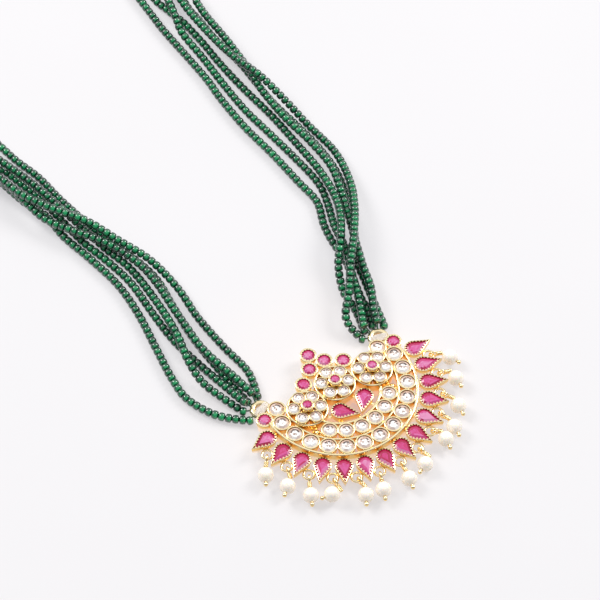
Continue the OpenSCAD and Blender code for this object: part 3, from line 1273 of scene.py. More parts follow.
        lay(self.outer_collet.make(), [at(*self.outer_at(k)) for k in range(13)])
        lay(self.inner_collet.make(), [at(*self.inner_at(k)) for k in range(6)])
        lay(self.petal_collet.make(), [at(*p) for p in self.petals()])
        lay(self.flower_collet.make(), [at(x, y) for x, y, _ in self.flowers])
        lay(self.top_collet.make(), [at(*p) for p in self.tops])
        lay(self.end_white_collet.make(), [at(*p) for p in either_side(self.end_white)])
        lay(self.end_ruby_collet.make(), [at(*p) for p in either_side(self.end_ruby)])
        lay(self.flower_rim.make(), [at(x, y) for x, y, _ in self.flowers])
        lay(PearSetting(self.pear_h).make(), [self.fringe_at(k) for k in range(1, 15)])
        lay(PearSetting(self.pear_h + self.centre_rise).make(), [self.centre_at(s) for s in Side])
        small_ring = RidgedRing(1.3, 0.33, 30, 8, 0.02)
        lay(small_ring.make(), [at(*self.ring_at(k), self.ring_level) for k in range(1, 14)])
        end_loop = RidgedRing(END_LOOP_BEND, 0.8, 40, 12, 0.05)
        lay(end_loop.make(), [at(*p, END_LOOP_LEVEL) for p in either_side(END_LOOP)])
        lay(Granule().make(), [at(*p) for p in either_side(self.granule)])
        for rail in self.rails:
            lay(rail.make(), [at(0, 0)])
        parts.extend(bar.make() for bar in self.bars())
        return Bench.unite(parts, "gilt_work")


# Stones


class Outline(Enum):
    """The two outlines of the cut stones."""

    ROUND = "round"
    PEAR = "pear"


class Tint(Enum):
    """The two colours of stones; each value is the name of its material."""

    RED = "red_stone"
    CLEAR = "clear_stone"


@dataclass
class CutStone:
    """A stone cut from a blank by planes, like a lapidary's laps.

    Attributes:
        outline: round or pear.
        half: half its width.
        tip: reach of a pear's tip.
        crown, girdle, pavilion: heights of its three parts.
        table: size of the table, as a share of the outline.
        half_facet: how much steeper the facets between the main ones are, in degrees.
        star: tilt of the facets at the table's corners, in degrees.
        star_reach: where they begin, as a share of the table.
        frame: width of the table's outer facets, as a share of half the width.
        blank: size of the blank.
    """

    outline: Outline
    half: float
    tip: float = 0.0
    crown: float = 0.45
    girdle: float = 0.2
    pavilion: float = 0.9
    table: float = 0.6
    half_facet: float = 7.0
    star: float = 20.0
    star_reach: float = 1.02
    frame: float = 0.24
    blank: float = 14.0

    @classmethod
    def round(cls, size: float) -> "CutStone":
        """A round stone of a diameter."""
        r = size / 2
        return cls(Outline.ROUND, r, 0.0, 0.28 * r, 0.2, 0.6 * r, 0.62)

    def reach(self, degrees: float) -> float:
        """How far the outline reaches in a direction.

        Args:
            degrees: the direction, from +X.

        Returns:
            The reach in mm.
        """
        if self.outline is Outline.ROUND:
            return self.half
        return max(self.half, -self.tip * math.sin(math.radians(degrees)))

    def slope(self, reach: float) -> float:
        """The tilt of a main facet of the crown, in degrees."""
        return math.degrees(math.atan2(self.crown, reach * (1 - self.table)))

    def directions(self) -> list[float]:
        """The directions of the main facets, in degrees.

        Returns:
            Eight for a round stone, nine for a pear.
        """
        if self.outline is Outline.ROUND:
            return [45.0 * k for k in range(8)]
        side = math.degrees(math.asin(self.half / self.tip))
        return [-side + (180 + 2 * side) * k / 8 for k in range(9)]

    def cut(self, degrees: float, tilt: float, level: float, reach: float) -> None:
        """Cuts one facet.

        Args:
            degrees: the direction it faces.
            tilt: its tilt from level, in degrees; above 90 it faces down.
            level: the height at which it passes the reach, in mm.
            reach: the distance from the axis there, in mm.
        """
        turn = math.radians(degrees)
        lean = math.radians(tilt)
        out = Vector((math.cos(turn), math.sin(turn), 0))
        Bench.pick_all()
        bpy.ops.mesh.bisect(
            plane_co=(out * reach + Vector((0, 0, level))) * MM,
            plane_no=out * math.sin(lean) + Vector((0, 0, math.cos(lean))),
            use_fill=True,
            clear_outer=True,
            threshold=1e-7,
        )

    def build(self, name: str) -> Piece:
        """Cuts the stone with its table at z = 0.

        Args:
            name: the pattern's name.

        Returns:
            The stone about the origin, in flat facets.
        """
        bpy.ops.mesh.primitive_cube_add(size=self.blank * MM)
        stone = bpy.context.object
        stone.name = name
        mains = self.directions()
        gap = mains[1] - mains[0]
        halves = [m + gap * q for m in mains for q in (-0.25, 0.25)]
        deep = -self.crown - self.girdle
        Bench.open(stone)
        for turn in mains + halves:
            self.cut(turn, 90, 0, self.reach(turn))
        self.cut(0, 0, 0, 0)
        for turn in mains:
            reach = self.reach(turn)
            self.cut(turn, self.slope(reach), -self.crown, reach)
            self.cut(turn, 180 - math.degrees(math.atan2(self.pavilion, reach)), deep, reach)
        for turn in halves:
            reach = self.reach(turn)
            self.cut(turn, self.slope(reach) + self.half_facet, -self.crown, reach)
        for turn in [m + gap / 2 for m in mains[:8]]:
            self.cut(turn, self.star, 0, self.reach(turn) * self.table * self.star_reach)
        Bench.pick(Part.FACE, lambda f: f.normal.z > 0.999)
        bpy.ops.mesh.inset(thickness=self.frame * self.half * MM)
        bpy.ops.mesh.poke()
        Bench.outward()
        Bench.close()
        return stone


@dataclass(frozen=True)
class Facet:
    """One facet of a stone in its place, which gets a tone of painted reflection and shade.

    Attributes:
        level: whether it is part of the table.
        inner: whether it is a triangle in the middle of the table.
        up: how far it looks up the photo's view, or on the table lies that way.
    """

    level: bool
    inner: bool
    up: float

    def red_tone(self, table: float, lift: float, dice: random.Random) -> float:
        """The tone of a red facet: painted reflection and shade, darker where it faces up the view and
        lighter where it faces down it.

        Args:
            table: the tone of the stone's table.
            lift: what round stones are lighter by.
            dice: the source of chance.

        Returns:
            The tone, about 0 to 1.
        """
        if self.level:
            change = 0.0
            if not self.inner:
                change = -0.35 if self.up > 0.4 else dice.choice((-0.3, 0.0, 0.1))
            return table + change + dice.uniform(-0.08, 0.08)
        choices = (0.0, 0.15) if self.up > 0.1 else (0.1, 0.25, 0.5) if self.up > -0.25 else (0.15, 0.6, 0.95)
        return dice.choice(choices) + dice.uniform(0.0, 0.1) + lift

    def clear_tone(self, dice: random.Random) -> float:
        """The tone of a clear facet: painted reflection and shade, darker where it faces up the view, lighter
        where it faces down it, with random painted sparkle.

        Args:
            dice: the source of chance.

        Returns:
            The tone, from 0 to 1.
        """
        if self.inner:
            return dice.choice((1.0, 1.0, 0.9, 0.3))
        if self.level and self.up > 0.3:
            return dice.choice((0.0, 0.1, 0.45))
        if self.level:
            return dice.choice((0.15, 0.6, 1.0)) if self.up > -0.3 else 1.0
        if self.up > 0.15:
            return dice.uniform(0.42, 0.7)
        return dice.uniform(0.5, 1.0) if self.up > -0.2 else dice.choice((1.0, 1.0, 0.7))


@dataclass
class StoneSet:
    """Copies of one cut stone in their settings."""

    name: str
    pattern: CutStone
    tint: Tint
    places: Sequence[Matrix]
    nodes: Sequence[str]
    seed: int

    def facets(self, stone: Piece) -> list[Facet]:
        """The facets of a stone in its place.

        Args:
            stone: the placed stone.

        Returns:
            A facet for each face.
        """
        turn = stone.matrix_world.to_3x3()
        found = []
        for face in stone.data.polygons:
            facing = turn @ face.normal
            level = facing.z > 0.999
            way = (turn @ face.center).xy.normalized() if level else facing
            up = way.dot(UP_THE_VIEW.xy if level else UP_THE_VIEW)
            found.append(Facet(level, level and len(face.vertices) == 3, up))
        return found

    def tones(self, stone: Piece, dice: random.Random) -> list[float]:
        """The painted reflection and shade of each facet of a stone in its place, as a tone.

        Args:
            stone: the placed stone.
            dice: the source of chance.

        Returns:
            A number for each face.
        """
        if self.tint is Tint.CLEAR:
            return [facet.clear_tone(dice) for facet in self.facets(stone)]
        lift = 0.15 if self.pattern.outline is Outline.ROUND else 0.0
        table = dice.choice((1.0, 0.88, 0.76, 0.64, 0.5)) + lift
        return [facet.red_tone(table, lift, dice) for facet in self.facets(stone)]

    def build(self) -> Piece:
        """Cuts the pattern once and sets its copies.

        Returns:
            All the stones as one piece.
        """
        dice = random.Random(self.seed)
        pattern = self.pattern.build(self.name + "_pattern")
        stones = []
        for place in self.places:
            stone = Bench.copy(pattern, place)
            write_numbers(stone, "tone", "FACE", self.tones(stone, dice))
            stones.append(stone)
        Bench.discard(pattern)
        return Bench.unite(stones, self.name)


def stone_sets(work: GiltWork) -> list[StoneSet]:
    """Every set of stones of the pendant.

    Args:
        work: the gilt work with the settings' places.

    Returns:
        The sets, the red ones first.
    """

    def on(collet: Collet, points: Sequence[Point]) -> list[Matrix]:
        """Places of round stones whose tables are a little above their settings."""
        return [at(x, y, collet.height + collet.table) for x, y in points]

    pear = CutStone(Outline.PEAR, 2.02, 4.62)
    pear_table = work.pear_h + 0.1
    fringe = [work.fringe_at(k, pear_table) for k in range(1, 15)]
    centre = [work.centre_at(s, pear_table + work.centre_rise) for s in Side]
    flowers = on(work.flower_collet, [(x, y) for x, y, _ in work.flowers])
    end_rubies = on(work.end_ruby_collet, either_side(work.end_ruby))
    outer = on(work.outer_collet, [work.outer_at(k) for k in range(13)])
    outer += on(work.end_white_collet, either_side(work.end_white))
    inner = on(work.inner_collet, [work.inner_at(k) for k in range(6)])
    petals = on(work.petal_collet, work.petals())
    ruby, small_ruby, petal = CutStone.round(3.2), CutStone.round(2.4), CutStone.round(2.75)
    fringe_nodes = [f"fringe_ruby_{k}" for k in range(1, 15)]
    centre_nodes = [f"centre_pear_{s.word}" for s in Side]
    top_nodes = ["top_ruby_peak"] + [f"top_ruby_{p}_{s.word}" for p in ("mid", "low") for s in Side]
    flower_nodes = [f"flower_ruby_{p}" for p in ("top", "left", "right")]
    end_nodes = [f"end_ruby_{s.word}" for s in Side]
    return [
        StoneSet("fringe_rubies", pear, Tint.RED, fringe, fringe_nodes, 3),
        StoneSet("centre_pears", pear, Tint.RED, centre, centre_nodes, 5),
        StoneSet("top_rubies", ruby, Tint.RED, on(work.top_collet, work.tops), top_nodes, 7),
        StoneSet("flower_rubies", small_ruby, Tint.RED, flowers, flower_nodes, 11),
        StoneSet("end_rubies", ruby, Tint.RED, end_rubies, end_nodes, 13),
        StoneSet("outer_clear_stones", CutStone.round(3.6), Tint.CLEAR, outer, ["outer_white_stones"], 17),
        StoneSet("inner_clear_stones", CutStone.round(3.3), Tint.CLEAR, inner, ["inner_white_stones"], 19),
        StoneSet("flower_clear_stones", petal, Tint.CLEAR, petals, ["flower_white_stones"], 23),
    ]


# Pearls on their pins


@dataclass
class PearlDrops:
    """The pearls under the fringe and the headpins that hold them.

    Distances along a pin are from the pearl's middle, toward the pin's ball.

    Attributes:
        radius, bore: radii of a pearl and of its bore.
        level: height of the rings, the pins and the pearls.
        pin: radius of a headpin's wire.
        ball, ball_at: radius and place of the ball at its end.
        shaft, shaft_at: length of its straight shaft, and the place of the shaft's end at the ball.
        bend_at: how far beyond the pearl it bends toward its ring.
        ring_bend, eye_bend: radii to the middle of the wire, of a small ring and of the pin's eye.
        neck_at: where the wraps of its neck begin, from the eye's middle.
        wrap_bend, wrap_wire, wrap_step: radius, wire and spacing of the wraps.
        drops: for each pearl x, y and the direction of its pin's ball, in degrees.
    """

    radius: float = 2.0
    bore: float = 0.45
    level: float = 2.0
    pin: float = 0.3
    ball: float = 0.55
    ball_at: float = 2.65
    shaft: float = 5.0
    shaft_at: float = 2.55
    bend_at: float = 2.45
    ring_bend: float = 1.3
    eye_bend: float = 0.95
    neck_at: float = 0.98
    wrap_bend: float = 0.4
    wrap_wire: float = 0.19
    wrap_step: float = 0.36
    drops: Sequence[Triple] = (
        (-28.8, -9.2, 234), (-26.4, -14.9, 217), (-23.4, -20.3, 240), (-19.1, -23.1, 168),
        (-12.6, -28.1, 236), (-8.2, -29.4, 242), (-1.2, -30.6, 252), (4.5, -29.6, 204),
        (13.1, -26.9, 255), (17, -25.3, 258), (21.7, -21, 258), (26.3, -14.2, 262), (29, -8.4, 291),
    )

    def along_pin(self, k: int, far: float) -> Matrix:
        """The place far mm along a pin from its pearl's middle, its Z axis along the pin.

        Args:
            k: the pearl's number, from 0.
            far: the distance in mm, toward the pin's ball.

        Returns:
            The place as a matrix.
        """
        x, y, turn = self.drops[k]
        t = math.radians(turn)
        return at(x + far * math.cos(t), y + far * math.sin(t), self.level, turn) @ quarter_turn("Y")

    def pearl(self) -> Piece:
        """A pearl with a true bore along Z.

        Returns:
            The pearl about the origin.
        """
        bpy.ops.mesh.primitive_uv_sphere_add(segments=36, ring_count=26, radius=self.radius * MM)
        piece = bpy.context.object
        Bench.open(piece)
        Bench.pick(Part.CORNER, lambda v: v.co.xy.length < self.bore * MM * 0.6)
        bpy.ops.mesh.delete(type="VERT")
        Bench.pick(Part.EDGE, lambda e: e.is_boundary)
        bpy.ops.mesh.bridge_edge_loops()
        Bench.outward()
        Bench.close()
        return Bench.smooth(piece, 60)

    def build_pearls(self) -> list[Piece]:
        """Sets thirteen pearls, each a piece of its own.

        Returns:
            The thirteen pearls.
        """
        pattern = self.pearl()
        made = []
        for k in range(len(self.drops)):
            place = self.along_pin(k, 0.0) @ Matrix.Rotation(0.7 * k, 4, "Z")
            made.append(Bench.unite([Bench.copy(pattern, place)], f"drop_pearl_{k + 1}"))
        Bench.discard(pattern)
        return made

    def pin_ball(self) -> Piece:
        """The ball at a headpin's end, a little flattened.

        Returns:
            The ball about the origin.
        """
        bpy.ops.mesh.primitive_uv_sphere_add(segments=18, ring_count=12, radius=self.ball * MM)
        piece = bpy.context.object
        Bench.open(piece)
        Bench.pick(Part.CORNER, lambda v: v.co.z > 0.5 * MM)
        Bench.scale((1, 1, 0.9))
        Bench.close()
        return Bench.smooth(piece, 60)

    def pin_shaft(self) -> Piece:
        """A headpin's straight shaft, down along -Z from the origin, its ends softened.

        Returns:
            The shaft, its upper end at the origin.
        """
        piece = Bench.cylinder(self.pin, self.shaft, 12, -self.shaft)
        Bench.open(piece)
        Bench.pick(Part.FACE, lambda f: abs(f.normal.z) > 0.9)
        bpy.ops.mesh.bevel(offset=0.1 * MM, segments=2)
        Bench.close()
        return Bench.smooth(piece)

    def build_pins(self, work: GiltWork) -> Piece:
        """Models the pin's ball, shaft, wraps and eye, and sets them on every pearl.

        Args:
            work: the gilt work with the rings' places.

        Returns:
            All the headpins as one piece.
        """
        ball = self.pin_ball()
        shaft = self.pin_shaft()
        wrap = Bench.smooth(Bench.hoop(self.wrap_bend, self.wrap_wire, 18, 8), 60)
        eye = Bench.smooth(Bench.hoop(self.eye_bend, self.pin, 26, 10), 60)
        parts = []
        for k, (x, y, turn) in enumerate(self.drops):
            parts.append(Bench.copy(ball, self.along_pin(k, self.ball_at)))
            parts.append(Bench.copy(shaft, self.along_pin(k, self.shaft_at)))
            t = math.radians(turn)
            bend = Vector((x - self.bend_at * math.cos(t), y - self.bend_at * math.sin(t)))
            ring = Vector(work.ring_at(k + 1))
            lean = (bend - ring).normalized()
            centre = ring + self.ring_bend * lean
            angle = math.degrees(math.atan2(lean.y, lean.x))
            parts.append(Bench.copy(eye, at(*centre, self.level, angle) @ quarter_turn("X")))
            neck = centre + self.neck_at * lean
            span = (bend - neck).length
            count = max(2, round(span / self.wrap_step) + 1)
            for w in range(count):
                where = neck + lean * (span * w / (count - 1))
                tilt = Matrix.Rotation(math.pi / 2 + 0.16, 4, "Y") @ Matrix.Rotation(0.5 * w, 4, "Z")
                parts.append(Bench.copy(wrap, at(*where, self.level, angle) @ tilt))
        Bench.discard(ball, shaft, wrap, eye)
        return Bench.unite(parts, "wrapped_headpins")


# Strings of beads

# Each string from its end loop up to the neck: x, y and layer. A layer is half a string high:
# 1 lies on the surface, 3 lies on another string.
LEFT_ROUTES: Sequence[Route] = (
    ((-19.5, 11, 1), (-19.5, 17.5, 1), (-19.5, 26, 1), (-19, 36, 1), (-17.5, 46, 1), (-16, 55.5, 1),
     (-17, 64.5, 1), (-19, 73, 1), (-20.5, 82, 1), (-21.5, 91, 1), (-22, 100, 1), (-23.5, 107.5, 1),
     (-24, 111.5, 1), (-24.5, 116, 1), (-25.5, 119.5, 1), (-27, 140, 1)),
    ((-22.5, 6.5, 1), (-28, 12.5, 1), (-31, 20.5, 1), (-30.5, 28, 1), (-28.5, 37.5, 1), (-26, 49, 1),
     (-25, 59.5, 1), (-26, 70, 1), (-27.5, 80, 1), (-27.5, 88.5, 1), (-29.5, 95.5, 1), (-30.5, 102.5, 1),
     (-31.5, 108.5, 1), (-32.5, 112, 1), (-33.5, 136, 1)),
    ((-21, 10.5, 3), (-21.5, 16.5, 2), (-22.5, 26.5, 1), (-23.5, 36.5, 1), (-23, 46.5, 1), (-22, 58, 1),
     (-23, 67.5, 1), (-24.5, 76, 1), (-25, 84.5, 1), (-25.5, 93.5, 1), (-27, 101.5, 1), (-28, 107, 1),
     (-30, 112, 1), (-30.5, 136, 1)),
    ((-22, 9.5, 1), (-24, 15.5, 1.5), (-25.5, 22, 2), (-25, 28.5, 3), (-22.5, 37.5, 3), (-20.5, 49, 2),
     (-19.5, 61, 1), (-21, 70.5, 1), (-22.5, 79.5, 2), (-24, 88, 3), (-25.5, 97.5, 3.5), (-28, 108.5, 3.5),
     (-29.5, 113, 3.5), (-30, 136.5, 3.5)),
    ((-18, 11.5, 3), (-18.5, 17, 3), (-20, 29, 3), (-19, 41, 3), (-17.5, 54, 3), (-18, 62, 3),
     (-21, 70.5, 3.5), (-25.5, 78.5, 3.5), (-29, 86, 3), (-30, 93, 3), (-30.5, 99, 3), (-32, 106, 3),
     (-32, 109.5, 3), (-33, 135, 3)),
    ((-16.5, 11, 1), (-14, 18.5, 1), (-14.5, 28, 1), (-14.5, 39, 1), (-13.5, 49.5, 1.5), (-14.5, 60, 2.5),
     (-18, 69.5, 3.5), (-21.5, 78.5, 4.5), (-27, 87.5, 5), (-30.5, 95.5, 5), (-32, 103, 5), (-34, 107.5, 5),
     (-32, 133.5, 5)),
)
RIGHT_ROUTES: Sequence[Route] = (
    ((22, 9.5, 1), (24, 15.5, 1), (26.5, 23, 1), (29, 30, 1), (34, 37.5, 1), (38, 45, 1), (41.5, 53.5, 1),
     (43, 62.5, 1), (43, 73, 1), (42.5, 84, 1), (43, 93, 1), (43.5, 101, 1), (43, 110.5, 1),
     (43.5, 119.5, 1), (43.5, 124, 1), (44, 128.5, 1), (43.5, 144, 1)),
    ((19.5, 11, 1), (21.5, 15.5, 1), (22.5, 19.5, 1), (24.5, 25.5, 1), (26.5, 31.5, 1), (27.5, 38.5, 1),
     (29, 44, 1), (32, 51, 1), (32, 59, 1), (32, 70.5, 1), (31.5, 82, 1), (32, 93.5, 1), (33, 102.5, 1),
     (33.5, 121.5, 1), (34, 127.5, 1), (34.5, 133, 1), (35, 138, 1), (36.5, 149, 1)),
    ((17, 11, 1), (18.5, 15.5, 1), (19.5, 19.5, 1), (20, 24, 1.5), (23, 30, 3.5), (28, 35.5, 5.5),
     (33, 42.5, 4.5), (36, 49.5, 3.5), (38, 58.5, 2.5), (39, 70, 1.5), (39.5, 80.5, 1), (39, 92.5, 1),
     (39, 103, 1), (39.5, 112.5, 1), (39.5, 121, 1), (39, 124, 1), (38.5, 128, 1), (38, 133, 1),
     (39.5, 147, 1)),
    ((17, 11.5, 3), (19.5, 16, 3), (22.5, 22, 3), (25, 27.5, 3), (28, 34, 3), (30.5, 41.5, 2), (34, 49, 1),
     (36, 56, 1), (36, 66, 1), (35.5, 76.5, 1), (35, 86.5, 1), (35.5, 97, 1), (36.5, 109, 1),
     (36.5, 117.5, 2), (38, 123, 3), (39.5, 128, 3), (40, 132, 3), (39, 146, 3)),
    ((20.5, 10.5, 3), (22, 14, 3), (25.5, 19.5, 3), (28, 26, 3), (31.5, 34, 3), (35, 41.5, 3),
     (38.5, 49.5, 3), (41, 57, 3), (41.5, 66.5, 3), (41, 77, 3), (41.5, 87.5, 3), (43, 96, 3),
     (44, 107.5, 3.5), (44.5, 117.5, 3.5), (45.5, 123, 3), (46.5, 128, 2.5), (44, 143.5, 3)),
    ((15, 9.5, 1), (14.5, 15.5, 3), (20, 21.5, 4.5), (25, 27.5, 5.5), (31, 34, 5.5), (37, 41.5, 4.5),
     (42, 50, 3), (45.5, 61, 1.5), (45.5, 72, 1), (44.5, 82, 3), (43, 91, 5), (41.5, 101, 4.5),
     (41.5, 111.5, 3.5), (42, 122, 3), (42.5, 126.5, 3), (42.5, 130.5, 3.5), (41.5, 145.5, 4)),
)


@dataclass
class BeadStrings:
    """The twelve strings of seed beads, along the same routes as the CAD tubes.

    Attributes:
        layer: height of a layer.
        neck, rx, ry: middle and radii of the oval round the neck.
        turns: the oval's angles at which a string has a point, in degrees.
        tie_in, clasp_inset: where the strings end before the clasp, and how far below the oval's top.
        pitch: spacing of the beads.
        radius, length, melt: radius and length of a bead, and the rounding of its ends.
        start: how far a string begins from its first point, toward the end loop.
        margin: what is left free of beads at each end.
        widest, highest: limits of a string's line, so that its beads stay inside the CAD box.
        gathered: the direction of the side of a bead that gets the painted glow.
        thread: radius of the thread.
        thread_end: where a thread enters the clasp, from its middle, and at what height.
        left_places, right_places: for each string its distance out from the oval, and its layer.
    """

    layer: float = 1.15
    neck: Point = (4.5, 160.0)
    rx: float = 36.0
    ry: float = 42.0
    turns: Sequence[float] = (0, 26, 50, 68)
    tie_in: float = 7.8
    clasp_inset: float = 0.5
    pitch: float = 1.76
    radius: float = 1.15
    length: float = 1.72
    melt: float = 0.5
    start: float = 0.9
    margin: float = 0.2
    widest: Point = (-34.15, 46.38)
    highest: float = 6.36
    gathered: Triple = (-0.3, -0.6, 0.72)
    thread: float = 0.2
    thread_end: Point = (6.6, 3.6)
    left_places: Sequence[Point] = ((-2.6, 1), (2.6, 1), (0, 1), (-1.3, 3), (1.3, 3), (0, 5))
    right_places: Sequence[Point] = ((2.6, 1), (-2.6, 1), (0, 1), (-1.3, 3), (1.3, 3), (0, 5))

    def route(self, side: Side, k: int) -> list[Vector]:
        """The points of a string from the pendant to the clasp.

        Args:
            side: the string's side.
            k: the string's number, from 0.

        Returns:
            The points in mm, from the centre of the pendant's arcs.
        """
        left = side is Side.LEFT
        points = list((LEFT_ROUTES if left else RIGHT_ROUTES)[k])
        out, rank = (self.left_places if left else self.right_places)[k]
        x, y = self.neck
        for turn in self.turns:
            a = math.radians(turn)
            points.append((x + side * (self.rx + out) * math.cos(a), y + (self.ry + out) * math.sin(a), rank))
        points.append((x + side * self.tie_in, y + self.ry - self.clasp_inset + out, rank))
        return [Vector((x, y, z * self.layer)) for x, y, z in points]

    def line(self, points: Sequence[Vector]) -> list[Vector]:
        """A smooth line through the points, in steps of about a quarter of a millimetre.

        Args:
            points: the points of a route.

        Returns:
            The points of the line.
        """
        found = []
        for i in range(len(points) - 1):
            b, c = points[i], points[i + 1]
            a = points[i - 1] if i else 2 * b - c
            d = points[i + 2] if i + 2 < len(points) else 2 * c - b
            steps = max(4, int((c - b).length * 4))
            for j in range(steps):
                t = j / steps
                square = (2 * a - 5 * b + 4 * c - d) * t * t
                cube = (3 * b - a - 3 * c + d) * t ** 3
                q = 0.5 * (2 * b + (c - a) * t + square + cube)
                q.x = min(max(q.x, self.widest[0]), self.widest[1])
                q.z = min(max(q.z, self.layer), self.highest)
                found.append(q)
        return found + [points[-1]]

    def bead(self) -> Piece:
        """One seed bead about the Z axis: a short drilled cut of glass cane with melted ends.

        Returns:
            The bead about the origin.
        """
        piece = Bench.hoop(self.radius - self.melt, self.melt, 12, 7)
        Bench.open(piece)
        Bench.pick_all()
        Bench.scale((1, 1, self.length / 2 / (self.melt * 0.975)))
        bend = (self.radius - self.melt * 0.7) * MM
        Bench.pick(Part.CORNER, lambda v: v.co.xy.length > bend and abs(v.co.z) > 0.3 * MM)
        Bench.scale((1.08, 1.08, 0.9))
        Bench.close()
        return Bench.smooth(piece, 180)

    def spread(self, line: Sequence[Vector]) -> tuple[float, list[tuple[Vector, Vector]]]:
        """Spreads the beads of a string evenly along its line.

        Args:
            line: the string's line.

        Returns:
            The step from bead to bead, and for each bead its spot and its direction.
        """
        run = [0.0]
        for p, q in zip(line, line[1:]):
            run.append(run[-1] + (q - p).length)
        full = run[-1] - 2 * self.margin
        count = max(2, round(full / self.pitch))
        step = full / count
        found = []
        i = 0
        for n in range(count):
            goal = self.margin + (n + 0.5) * step
            while run[i + 1] < goal:
                i += 1
            share = (goal - run[i]) / (run[i + 1] - run[i])
            aim = (line[min(i + 3, len(line) - 1)] - line[max(i - 2, 0)]).normalized()
            found.append((line[i].lerp(line[i + 1], share) + HOME, aim))
        return step, found

    def build_string(self, bead: Piece, side: Side, k: int) -> Piece:
        """Threads the beads of one string.

        Args:
            bead: the bead modelled once.
            side: the string's side.
            k: the string's number, from 0.

        Returns:
            The string of beads as one piece.
        """
        dice = random.Random(100 * k + side)
        points = self.route(side, k)
        toward = Vector((side * END_LOOP[0], END_LOOP[1], points[0].z)) - points[0]
        step, spots = self.spread(self.line([points[0] + toward.normalized() * self.start] + points))
        beads = []
        for n, (spot, aim) in enumerate(spots):
            aim = (aim + Vector([dice.gauss(0, 0.05) for _ in range(3)])).normalized()
            size = dice.uniform(0.965, 1.0)
            place = (
                Matrix.Translation(spot * MM)
                @ aim.to_track_quat("Z", "Y").to_matrix().to_4x4()
                @ Matrix.Rotation(dice.uniform(0, 6.28), 4, "Z")
                @ Matrix.Diagonal((size, size, step / self.pitch * dice.uniform(0.95, 1.0), 1))
            )
            twin = Bench.copy(bead, place)
            # each corner's painted glow: how far it lies toward the gathered direction
            lit = place.to_3x3().transposed() @ Vector(self.gathered)
            reach = self.radius * MM
            corners = twin.data.vertices
            write_numbers(twin, "painted_glow", "POINT", [max(0.0, v.co.dot(lit) / reach) for v in corners])
            swell = 0.5 + 0.5 * math.sin(n / 8 + 2.1 * k + side)
            write_numbers(twin, "mood", "POINT", [0.6 * dice.random() + 0.4 * swell] * len(corners))
            beads.append(twin)
        return Bench.unite(beads, f"bead_string_{side.word}_{k + 1}")

    def build_threads(self) -> Piece:
        """Draws the threads through all the beads, from the end loops to the clasp.

        Returns:
            All the threads as one piece.
        """
        paths = []
        far, level = self.thread_end
        for side in Side:
            loop = Vector((side * END_LOOP[0], END_LOOP[1], END_LOOP_LEVEL))
            end = Vector((self.neck[0] + side * far, self.neck[1] + self.ry - self.clasp_inset, level))
            for k in range(6):
                points = self.route(side, k)
                away = points[0] - loop
                away.z = 0
                start = loop + away.normalized() * END_LOOP_BEND
                path = [start] + self.line(points)[::9] + [points[-1], end]
                paths.append([point + HOME for point in path])
        return Bench.threads("stringing_threads", paths, self.thread, 1, False)


@dataclass
class TieWindings:
    """Pale thread wound over each end loop, where the strings are tied in.

    Attributes:
        turns: how many turns each winding has.
        spread: how wide they lie together.
        shift: how far their middle is from the loop's, across it.
        reach: how far a turn in the middle reaches along the loop.
        rise, drop: how far a turn goes over the wire's middle, and under it.
        square: below 1 it makes the turns' ovals squarer.
        thread: radius of the thread.
        along, across: the winding's directions on the right side.
    """

    turns: int = 6
    spread: float = 1.7
    shift: float = -0.6
    reach: float = 2.6
    rise: float = 1.02
    drop: float = 0.98
    square: float = 0.6
    thread: float = 0.15
    along: Point = (0.95, -0.31)
    across: Point = (0.31, 0.95)

    def build(self) -> Piece:
        """Lays the turns side by side across both loops, each over the wire and round under it.

        Returns:
            Both windings as one piece.
        """
        dice = random.Random(41)
        paths = []
        knots = [math.tau * j / 18 for j in range(18)]
        for side in Side:
            middle = Vector((side * END_LOOP[0], END_LOOP[1], END_LOOP_LEVEL)) + HOME
            along = Vector((side * self.along[0], self.along[1], 0))
            across = Vector((side * self.across[0], self.across[1], 0))
            for k in range(self.turns):
                shift = (k / (self.turns - 1) - 0.5) * self.spread + self.shift
                half = math.sqrt(self.reach ** 2 - shift ** 2)
                lean = dice.uniform(-0.12, 0.12)
                path = []
                for t in knots:
                    flat = math.copysign(abs(math.cos(t)) ** self.square, math.cos(t)) * half
                    high = (self.rise if math.sin(t) > 0 else self.drop) * math.sin(t)
                    point = middle + along * flat + across * (shift + lean * math.cos(t))
                    path.append(point + Vector((0, 0, high)))
                paths.append(path)
        return Bench.threads("tie_windings", paths, self.thread, 2, True)


# Clasp


